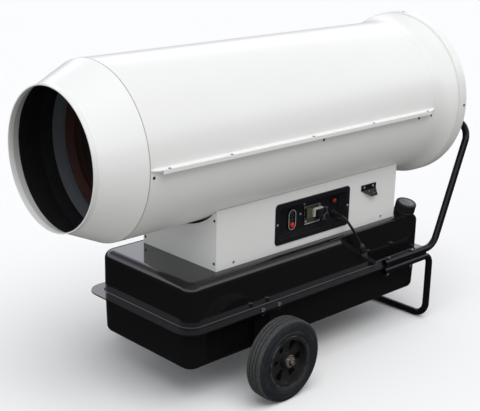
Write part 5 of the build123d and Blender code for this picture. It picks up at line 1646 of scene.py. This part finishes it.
# ---- mains lead
@dataclass
class MainsLead(Assembly):
    """The short mains lead with its strain relief, plug and pins."""

    radius: float = 4.25
    length: float = 117.6
    round_steps: int = 8
    span_steps: int = 16
    route: tuple[Triple, ...] = (
        (160.5, 951.0, 446.0),
        (175.0, 951.0, 446.0),
        (188.5, 954.2, 439.5),
        (197.5, 961.5, 427.5),
        (204.5, 973.5, 408.0),
        (209.5, 986.5, 386.5),
        (213.0, 996.5, 367.0),
    )
    nut_across: float = 22.0
    nut_height: float = 7.0
    nut_inset: float = 20.0
    stem_radius: float = 7.0
    stem_steps: int = 32
    boot_reach: float = 28.0
    boot_base: float = 8.2
    boot_end: float = 5.1
    boot_ribs: int = 5
    boot_rib: tuple[Point, ...] = ((0.0, 0.0), (0.55, 0.0), (0.65, 0.9), (0.9, 0.9))
    boot_collar: float = 1.0
    boot_chamfer: float = 0.3
    boot_steps: int = 40
    neck_radius: float = 5.6
    neck_ribs: int = 5
    neck_pitch: float = 3.4
    neck_rib: tuple[Point, ...] = ((0.0, 0.0), (1.9, 0.0), (2.2, -1.1), (3.1, -1.1))
    neck_start: float = 1.0
    neck_chamfer: float = 0.4
    swell_shares: tuple[float, ...] = (0.0, 0.2, 0.4, 0.6, 0.8, 1.0)
    taper: float = 34.0
    body_length: float = 20.0
    body_width: float = 20.0
    body_height: float = 22.0
    body_corner: float = 8.5
    face_round: tuple[Point, ...] = ((3.0, 0.0), (1.0, -0.4), (0.0, -1.4))
    blade_width: float = 6.3
    blade_thickness: float = 1.6
    blade_spacing: float = 12.7
    blade_offset: float = 4.0
    blade_corner: float = 1.5
    blade_hole: float = 1.6
    hole_steps: int = 16
    hole_setback: float = 5.0
    pin_length: float = 18.0
    pin_root: float = 0.2
    ground_radius: float = 2.4
    ground_offset: float = 8.0
    ground_steps: int = 24

    def build(self) -> None:
        points = [spot(*place) for place in self.route]
        ahead = (points[-1] - points[-2]).normalized()
        lead = self.lead(points)
        gland = self.gland(points[0])
        plug = self.plug(aim(points[-1], ahead, (1, 0, 0)))
        pins = self.pins(aim(points[-1] + ahead * (self.taper + self.body_length), ahead, (1, 0, 0)))
        2 * self.radius * MM

    def lead(self, points: Sequence[Vector]) -> bpy.types.Object:
        """The cord itself, a smooth curve along its route.

        Args:
            points: The route's points.

        Returns:
            The piece.
        """
        curve = bpy.data.curves.new("mains_lead", "CURVE")
        curve.dimensions = "3D"
        curve.bevel_depth = self.radius * MM
        curve.bevel_resolution = self.round_steps
        curve.resolution_u = self.span_steps
        curve.use_fill_caps = True
        spline = curve.splines.new("NURBS")
        spline.points.add(len(points) - 1)
        for control, point in zip(spline.points, points):
            control.co = (*(point * MM), 1.0)
        spline.order_u = 3
        spline.use_endpoint_u = True
        return self.shop.hang("mains_lead", curve, self.finishes.rubber, Slot.LEAD, ["power_cord"])

    def gland(self, leaves: Vector) -> bpy.types.Object:
        """The gland's nut and its ribbed, tapered boot.

        Args:
            leaves: Where the lead leaves the gland's node.

        Returns:
            The piece.
        """
        seat = leaves - Vector((self.nut_inset, 0, 0))
        place = aim(seat, (1, 0, 0))
        stem = Box.of("cord_gland").low.x - seat.x
        gland = Billet()
        gland.merge(Hexagon(self.nut_across, self.nut_height).billet(), place)
        radius = self.stem_radius
        gland.lathe([(0, stem), (radius, stem), (radius, 0), (0, 0)], place, self.stem_steps)
        top, collar = self.nut_height, self.boot_collar
        outline: list[Point] = [(0, top), (self.boot_base, top)]
        run = self.boot_reach - top - 2 * collar
        for count in range(self.boot_ribs):
            for share, drop in self.boot_rib:
                along = (count + share) / self.boot_ribs
                radius = self.boot_base + (self.boot_end - self.boot_base) * along
                outline.append((radius - drop, top + collar + run * along))
        reach = self.boot_reach
        outline += [(self.boot_end, reach - collar), (self.boot_end - self.boot_chamfer, reach), (0, reach)]
        gland.lathe(outline, place, self.boot_steps)
        return self.shop.make("lead_strain_relief", gland, self.finishes.plug, Slot.PLUG, ["cord_gland"])

    def plug_stations(self) -> list[Triple]:
        """Where the plug's section changes, from the lead's end on.

        Returns:
            How far along each is, how square the section is there, and how far it grows.
        """
        whole = self.taper + self.body_length
        stations = [(0.0, 0.0, -self.neck_chamfer), (0.0, 0.0, 0.0)]
        for count in range(self.neck_ribs):
            base = self.neck_start + count * self.neck_pitch
            stations += [(base + run, 0.0, rise) for run, rise in self.neck_rib]
        swell = self.neck_start + self.neck_ribs * self.neck_pitch
        for share in self.swell_shares:
            stations.append((swell + (self.taper - swell) * share, share * share * (3 - 2 * share), 0.0))
        return stations + [(whole - back, 1.0, rise) for back, rise in self.face_round]

    def plug(self, place: Matrix) -> bpy.types.Object:
        """The moulded plug, round at its ribbed neck and squared at its body.

        Args:
            place: Where the lead ends, with Z along it.

        Returns:
            The piece.
        """
        body = rounded_rectangle(self.body_width, self.body_height, self.body_corner, self.round_steps)
        first = math.atan2(body[0][1], body[0][0])
        neck = [polar(self.neck_radius, first + turn) for turn in turns(len(body))]
        rings = [[place.translation]]
        for along, share, grow in self.plug_stations():
            ring = []
            for inner, corner in zip(neck, body):
                point = inner.lerp(Vector((*corner, 0)), share)
                point += point.normalized() * grow
                ring.append(place @ (point + Vector((0, 0, along))))
            rings.append(ring)
        rings.append([place @ Vector((0, 0, self.taper + self.body_length))])
        plug = Billet()
        plug.grid(rings)
        return self.shop.make("lead_plug", plug, self.finishes.plug, Slot.PLUG, ["power_plug"])

    def pins(self, face: Matrix) -> bpy.types.Object:
        """The plug's two blades and its round ground pin.

        Args:
            face: The middle of the plug's face, with Z out of it.

        Returns:
            The piece.
        """
        half, corner, root = self.blade_width / 2, self.blade_corner, -self.pin_root
        end = self.pin_length - corner
        hole_x = self.pin_length - self.hole_setback
        upper = arc((end, half - corner), corner, 90, 0, 4)
        lower = arc((end, corner - half), corner, 0, -90, 4)
        outline = [(root, half), *upper, *lower, (root, -half)]
        hole = [(hole_x + x, y) for x, y in circle(self.blade_hole, self.hole_steps)]
        pins = Billet()
        for side in Side:
            edge = side.value * self.blade_spacing / 2
            turned = Matrix(((0, 0, 1, edge), (0, 1, 0, self.blade_offset), (1, 0, 0, 0), (0, 0, 0, 1)))
            pins.plate([outline, hole], -self.blade_thickness / 2, self.blade_thickness / 2, face @ turned)
        radius = self.ground_radius
        tip = arc((0, self.pin_length - radius), radius, 0, 90, self.round_steps)[:-1]
        ground = [(0, root), (radius, root), *tip, (0, self.pin_length)]
        pins.lathe(ground, face @ Matrix.Translation((0, -self.ground_offset, 0)), self.ground_steps)
        return self.shop.make("lead_plug_pins", pins, self.finishes.pin, Slot.BRASS, ["plug_pins"])


# ---- tank
@dataclass
class Tank(Assembly):
    """The fuel tank with its filler cap and fittings."""

    neck_gap: float = 55.4
    neck_x: float = 163.0
    tilt: float = 14.0
    foot: float = 9.4
    cap_radius: float = 34.5
    cap_height: float = 33.0
    cap_round: float = 5.5
    wall: float = 4.0
    roof: float = 6.0
    lip_round: float = 1.2
    round_steps: int = 8
    side: Span = (3.0, 25.5)
    rib_count: int = 40
    rib_steps: int = 6
    rib_depth: float = 1.6
    rib_power: float = 0.6
    rib_reach: float = 34.0
    rib_span: Span = (2.0, 28.0)
    dial_radius: float = 25.5
    dial_drop: float = 1.4
    dial_lip: tuple[Point, ...] = ((1.2, 0.0), (0.4, 0.3))
    dial_profile: tuple[Point, ...] = (
        (25.5, 0.0), (0.6, 0.0), (0.6, 0.5), (1.0, 0.9), (3.4, 0.9), (4.0, 0.4), (25.5, 0.4)
    )
    dial_steps: int = 96
    grip_size: Triple = (30.0, 6.0, 1.0)
    grip_rise: float = 0.3
    grip_round: float = 0.45

    def build(self) -> None:
        """Dress the tank and make its cap."""
        finishes = self.finishes
        self.shop.dress(finishes.tank, "tank_upper", "tank_lower", "axle_brackets")
        self.shop.dress(finishes.zinc, "tank_fittings")
        place = self.seat()
        self.cap(place)
        self.dial(place)

    def seat(self) -> Matrix:
        """Where the cap stands on the leaning filler neck.

        Returns:
            The placement of the cap's lower edge, with Z out of the neck.
        """
        lean = math.radians(self.tilt)
        axis = Vector((math.sin(lean), 0, math.cos(lean)))
        neck = Vector((self.neck_x, Box.of("rear_panel").high.y + self.neck_gap, TANK_TOP))
        return aim(neck + axis * self.foot, axis, (1, 0, 0))

    def cap_outline(self) -> list[Point]:
        """The cap's section without its ribs, from inside its skirt to the edge of its dial.

        Returns:
            Radius and height of each point.
        """
        radius, height, lip, crown = self.cap_radius, self.cap_height, self.lip_round, self.cap_round
        inside = radius - self.wall
        return [
            (inside, height - self.roof),
            (inside, lip / 2),
            *arc((inside + lip, lip), lip, 180, 270, 3),
            *arc((radius - lip, lip), lip, 270, 360, 3),
            *((radius, rise) for rise in self.side),
            *arc((radius - crown, height - crown), crown, 0, 90, self.round_steps),
            *((self.dial_radius + gap, height - drop) for gap, drop in self.dial_lip),
            (self.dial_radius, height - self.dial_drop),
        ]

    def cap(self, place: Matrix) -> None:
        """The ribbed filler cap.

        Args:
            place: Where it stands.
        """
        angles = turns(self.rib_count * self.rib_steps)
        hollows = [1 - max(0.0, math.cos(turn * self.rib_count)) ** self.rib_power for turn in angles]
        low, high = self.rib_span
        rings = [[place @ Vector((0, 0, self.cap_height - self.roof))]]
        for radius, height in self.cap_outline():
            depth = self.rib_depth if radius > self.rib_reach and low < height < high else 0.0
            rings.append([place @ polar(radius - depth * hollow, turn, height)
                          for turn, hollow in zip(angles, hollows)])
        rings.append([place @ Vector((0, 0, self.cap_height - self.dial_drop))])
        cap = Billet()
        cap.grid(rings)
        finish = self.finishes.cap
        self.shop.make("filler_cap_ribbed", cap, finish, Slot.CAP, ["filler_cap"], Body.CAP)

    def dial(self, place: Matrix) -> None:
        """The cap's inset dial with its grip bar.

        Args:
            place: Where the cap stands.
        """
        floor = self.cap_height - self.dial_drop
        outline = [(self.dial_radius - inset, floor + rise) for inset, rise in self.dial_profile]
        dial = Billet()
        dial.lathe(outline, place, self.dial_steps)
        grip = place @ Matrix.Translation((0, 0, floor + self.grip_rise))
        dial.block(self.grip_size, grip, self.grip_round)
        self.shop.make("filler_cap_dial", dial, self.finishes.dial, Slot.CAP, body=Body.CAP)


# ---- wheels
@dataclass
class Wheels(Assembly):
    """Both wheels with their axle, washers and nuts.

    The bead, the ridges and the shoulder are given as insets from the tyre's side and radii. The
    tread is given as distances from the tyre's middle and drops under its radius. The last number
    of a shoulder's or a tread's point is how deep the sipes cut there, and a sipe is shares of the
    pitch with how much of its depth it has.
    """

    width: float = 60.0
    bead: tuple[Point, ...] = ((5.0, 74.0), (5.0, 78.6), (3.4, 79.4), (2.0, 82.5))
    ridges: tuple[float, ...] = (85.5, 89.0, 92.5)
    ridge_profile: tuple[Point, ...] = ((1.1, -0.9), (0.4, 0.0), (1.1, 0.9))
    shoulder: tuple[Triple, ...] = (
        (0.2, 97.0, 0.0),
        (0.3, 103.0, 0.0),
        (0.9, 107.5, 0.0),
        (2.2, 108.6, 0.0),
        (1.2, 109.8, 0.0),
        (1.6, 112.5, 0.0),
        (2.5, 115.5, 0.5),
        (3.7, 118.5, 1.0),
        (5.2, 121.2, 1.0),
    )
    tread: tuple[Triple, ...] = (
        (23.0, 1.0, 1.0),
        (15.8, 0.55, 1.0),
        (13.7, 0.4, 1.0),
        (13.2, 0.9, 0.5),
        (12.8, 5.0, 0.0),
        (10.2, 5.0, 0.0),
        (9.8, 0.6, 0.5),
        (9.3, 0.12, 1.0),
        (5.75, 0.05, 0.0),
        (2.2, 0.0, 1.0),
        (1.7, 0.5, 0.5),
        (1.3, 5.0, 0.0),
    )
    sipe: tuple[Point, ...] = ((0.0, 0.0), (0.042, 1.0), (0.098, 1.0), (0.14, 0.0), (0.57, 0.0))
    sipe_count: int = 120
    sipe_depth: float = 1.4
    spoke_reach: float = 10.5
    nut_bore: float = 6.1
    nut_skirt: float = 1.2
    thin_solid: float = 4.0
    small_washer: float = 18.0
    washer_gap: float = 0.2
    washer_foot: float = 0.3
    washer_edge: float = 0.6
    washer_steps: int = 64

    def build(self) -> None:
        """Make the tyres and nuts, and dress the rims and the axle."""
        for side in Side:
            self.tyre(side)
            self.rim(side)
        self.shop.dress(self.finishes.axle, "axle")
        self.nuts()

    def rim(self, side: Side) -> None:
        """Dress one rim, whose spokes stand out as far as the web does.

        Args:
            side: The wheel's side.
        """
        middle = Box.of("tyre_" + side.word).middle
        moulding = RimMoulding(
            "rim_moulding_" + side.word, (0.017, 0.017, 0.0175), 0.3, grain=1.1, cloud=35, edge=0.9,
            axle_y=middle.y, axle_z=middle.z, side=side, spoke_face=abs(middle.x) + self.spoke_reach,
        )
        self.shop.dress(moulding, "rim_" + side.word)

    def half_section(self, radius: float) -> list[Triple]:
        """The outer half of the tyre's section, from the bead to the middle of the tread.

        Args:
            radius: The tyre's radius.

        Returns:
            Distance from the middle, radius, and how deep a sipe cuts there.
        """
        half = self.width / 2
        section = [(half - inset, reach, 0.0) for inset, reach in self.bead]
        for ridge in self.ridges:
            section += [(half - inset, ridge + rise, 0.0) for inset, rise in self.ridge_profile]
        section += [(half - inset, reach, cut) for inset, reach, cut in self.shoulder]
        return section + [(across, radius - drop, cut) for across, drop, cut in self.tread]

    def tyre(self, side: Side) -> None:
        """Make one tyre, with its grooves and sipes.

        Args:
            side: The wheel's side.
        """
        node = "tyre_" + side.word
        box = Box.of(node)
        place = aim(box.middle, (side.value, 0, 0))
        outer = self.half_section(box.size.z / 2)
        section = [(-across, reach, deep) for across, reach, deep in outer] + outer[::-1]
        pitch = math.tau / self.sipe_count
        rings = []
        for across, reach, deep in section:
            ring = []
            for start in turns(self.sipe_count):
                for share, cut in self.sipe:
                    reached = reach - cut * deep * self.sipe_depth
                    ring.append(place @ polar(reached, start + share * pitch, across))
            rings.append(ring)
        tyre = Billet()
        tyre.grid(rings, closed=True)
        rubber = TyreRubber(
            "tyre_rubber_" + side.word, (0.014, 0.0155, 0.019), 0.5, specular=0.32, depth=0.06,
            axle_y=box.middle.y, axle_z=box.middle.z,
        )
        self.shop.make(node + "_grooved", tyre, rubber, Slot.TYRE, [node], Body["WHEEL_" + side.name])

    def nuts(self) -> None:
        """Make the washers and the nuts on both ends of the axle."""
        bright, rusty = Billet(), Billet()
        for solid in islands("axle_nuts"):
            outward = math.copysign(1, solid.middle.x)
            thick, wide, tall = solid.size
            place = aim(solid.middle - Vector((outward * thick / 2, 0, 0)), (outward, 0, 0))
            if thick > self.thin_solid:
                nut = Hexagon(min(tall, wide), thick, self.nut_bore, self.nut_skirt)
                bright.merge(nut.billet(), place)
            else:
                radius = tall / 2
                washer = bright if radius > self.small_washer else rusty
                washer.lathe(self.washer(radius, thick), place, self.washer_steps, closed=True)
        finishes = self.finishes
        self.shop.make("axle_nuts_bright", bright, finishes.nut, Slot.ZINC, ["axle_nuts"])
        self.shop.make("axle_washers_rusty", rusty, finishes.rusty, Slot.ZINC)

    def washer(self, radius: float, thick: float) -> list[Point]:
        """A washer's section.

        Args:
            radius: Its outer radius.
            thick: Its thickness.

        Returns:
            Radius and height of each point.
        """
        bore, foot, edge = self.nut_bore + self.washer_gap, self.washer_foot, self.washer_edge
        return [(bore, 0), (radius - foot, 0), (radius, foot), (radius, thick - edge), (radius - edge, thick),
                (bore, thick)]


# ---- handle and rear leg
@dataclass
class TubeWork(Assembly):
    """The handle and the rear leg, each one bent tube."""

    radius: float = 11.5
    wall: float = 1.8
    chamfer: float = 0.5
    bend_length: float = 260.0
    handle_bends: tuple[float, ...] = (55.0, 62.0)
    leg_bends: tuple[float, ...] = (32.0, 45.0)

    def build(self) -> None:
        """Make both tubes in place of the frame's."""
        half, front, back, low, top = self.reach("handle")
        arm = [(front, low), (front + self.bend_length, low), (back, top)]
        self.tube("handle", half, arm, self.handle_bends)
        half, front, back, low, top = self.reach("rear_leg")
        self.tube("rear_leg", half, [(front, top), (back, top), (back, low)], self.leg_bends)

    def reach(self, node: str) -> tuple[float, float, float, float, float]:
        """The x, the front and rear y, and the lowest and highest z of the tube's middle line."""
        box, radius = Box.of(node), self.radius
        return box.high.x - radius, box.low.y, box.high.y - radius, box.low.z + radius, box.high.z - radius

    def tube(self, node: str, half: float, arm: Sequence[Point], bends: Sequence[float]) -> None:
        """Make one tube whose two arms mirror each other.

        Args:
            node: The node that it stands for.
            half: Distance of each arm from the middle.
            arm: The y and z of one arm's corners, from its front end.
            bends: The bends' radii along one arm.
        """
        corners = [Vector((half, y, z)) for y, z in arm] + [Vector((-half, y, z)) for y, z in reversed(arm)]
        line = bent_route(corners, [*bends, *reversed(bends)])
        ahead = (line[1] - line[0]).normalized() * self.chamfer
        back = (line[-2] - line[-1]).normalized() * self.chamfer
        outer = [line[0], line[0] + ahead, *line[1:-1], line[-1] + back, line[-1]]
        radii = [self.radius - self.chamfer, *[self.radius] * len(line), self.radius - self.chamfer]
        inner = sweep_rings(line, [self.radius - self.wall] * len(line))
        tube = Billet()
        tube.grid([*sweep_rings(outer, radii), *reversed(inner)], closed=True)
        self.shop.make(node + "_tube", tube, self.finishes.tube, Slot.TUBE, [node])


# ---- studio
@dataclass
class Studio:
    """The pale floor, the soft lights and the camera."""

    azimuth: float = 46.1
    elevation: float = 17.62
    roll: float = 1.31
    lens: float = 79.7
    film_width: float = 36.0
    camera_place: Triple = (2235.2, -2239.05, 1473.6)
    floor_size: float = 40.0
    floor_colour: Colour = (0.86, 0.86, 0.86)
    backdrop: Colour = (0.95, 0.955, 0.96)
    sky: Stops = ((0.5, (0.49, 0.485, 0.47)), (0.68, (0.50, 0.505, 0.52)))
    mirrored: Stops = (
        (0.42, (0.03, 0.03, 0.033)),
        (0.5, (0.06, 0.06, 0.066)),
        (0.6, (0.14, 0.14, 0.155)),
        (0.645, (1.9, 1.9, 2.1)),
        (0.76, (1.6, 1.6, 1.75)),
        (0.83, (0.5, 0.5, 0.53)),
        (1.0, (0.45, 0.45, 0.47)),
    )
    lamp_height: float = 4.0
    key_direction: Triple = (0.39, -0.16, 0.90)
    key_spread: float = 55.0
    key_strength: float = 2.05
    fill_direction: Triple = (0.12, -1.0, 0.22)
    fill_spread: float = 60.0
    fill_strength: float = 0.58
    fill_colour: Colour = (0.86, 0.95, 1.0)

    def build(self) -> None:
        """Set up the studio."""
        self.floor()
        self.world()
        self.lamp("key_light", self.key_direction, self.key_spread, self.key_strength)
        self.lamp("front_fill", self.fill_direction, self.fill_spread, self.fill_strength, self.fill_colour)
        self.camera()
        bpy.context.scene.view_settings.view_transform = "Standard"

    def floor(self) -> None:
        """Lay the floor, which sends no light back to the heater."""
        half = self.floor_size / 2
        mesh = bpy.data.meshes.new("studio_floor")
        corners = [(-half, -half, 0), (half, -half, 0), (half, half, 0), (-half, half, 0)]
        mesh.from_pydata(corners, [], [(0, 1, 2, 3)])
        paper = Backdrop("studio_floor", self.floor_colour, 0.9, specular=0.1, cloud=900, change=0.01)
        mesh.materials.append(paper.material())
        floor = bpy.data.objects.new("studio_floor", mesh)
        floor.visible_diffuse = False
        floor.visible_glossy = False
        bpy.context.scene.collection.objects.link(floor)

    def world(self) -> None:
        """Light the surroundings softly, with a sky of their own for diffuse and for glossy rays."""
        world = bpy.data.worlds.new("studio")
        world.use_nodes = True
        bench = Bench(world.node_tree, "BACKGROUND")
        height = bench.split(bench.add("ShaderNodeTexCoord", output="Generated"))[2] * 0.5 + 0.5
        shown = self.backdrop
        for rays, stops in (("Is Diffuse Ray", self.sky), ("Is Glossy Ray", self.mirrored)):
            seen = bench.add("ShaderNodeLightPath", output=rays)
            shown = bench.blend(seen, shown, bench.ramp(height, stops))
        bench.vary("Color", shown)
        bpy.context.scene.world = world

    def lamp(
        self, name: str, direction: Triple, spread: float, strength: float, colour: Colour = (1, 1, 1)
    ) -> None:
        """Hang one broad soft light. It isn't seen in gloss, which mirrors the surroundings alone.

        Args:
            name: The light's name.
            direction: Where it stands, seen from the heater.
            spread: How broad it is, in degrees.
            strength: Its strength.
            colour: Its colour.
        """
        lamp = bpy.data.lights.new(name, "SUN")
        lamp.angle = math.radians(spread)
        lamp.energy = strength
        lamp.color = colour
        light = bpy.data.objects.new(name, lamp)
        light.matrix_world = aim(Vector((0, 0, self.lamp_height)), direction)
        light.visible_glossy = False
        bpy.context.scene.collection.objects.link(light)

    def camera(self) -> None:
        """Stand the camera where the photograph was taken from."""
        angles = ((self.azimuth, "Z"), (90 - self.elevation, "X"), (self.roll, "Z"))
        place = Matrix.Translation(Vector(self.camera_place) * MM)
        for angle, axis in angles:
            place @= Matrix.Rotation(math.radians(angle), 4, axis)
        lens = bpy.data.cameras.new("camera")
        lens.lens = self.lens
        lens.sensor_width = self.film_width
        camera = bpy.data.objects.new("camera", lens)
        camera.matrix_world = place
        bpy.context.scene.collection.objects.link(camera)
        bpy.context.scene.camera = camera


def main() -> None:
    """Build the heater's looks piece by piece."""
    logging.basicConfig(level=logging.INFO, format="%(name)s: %(message)s")
    shop = Paintshop(Finishes())
    Studio().build()
    for part in (MainsLead, Casing, Burner, Drive, Cabinet, ControlPanel, Tank, Wheels, TubeWork, Fasteners):
        part(shop).build()


if __name__ == "__main__":
    main()
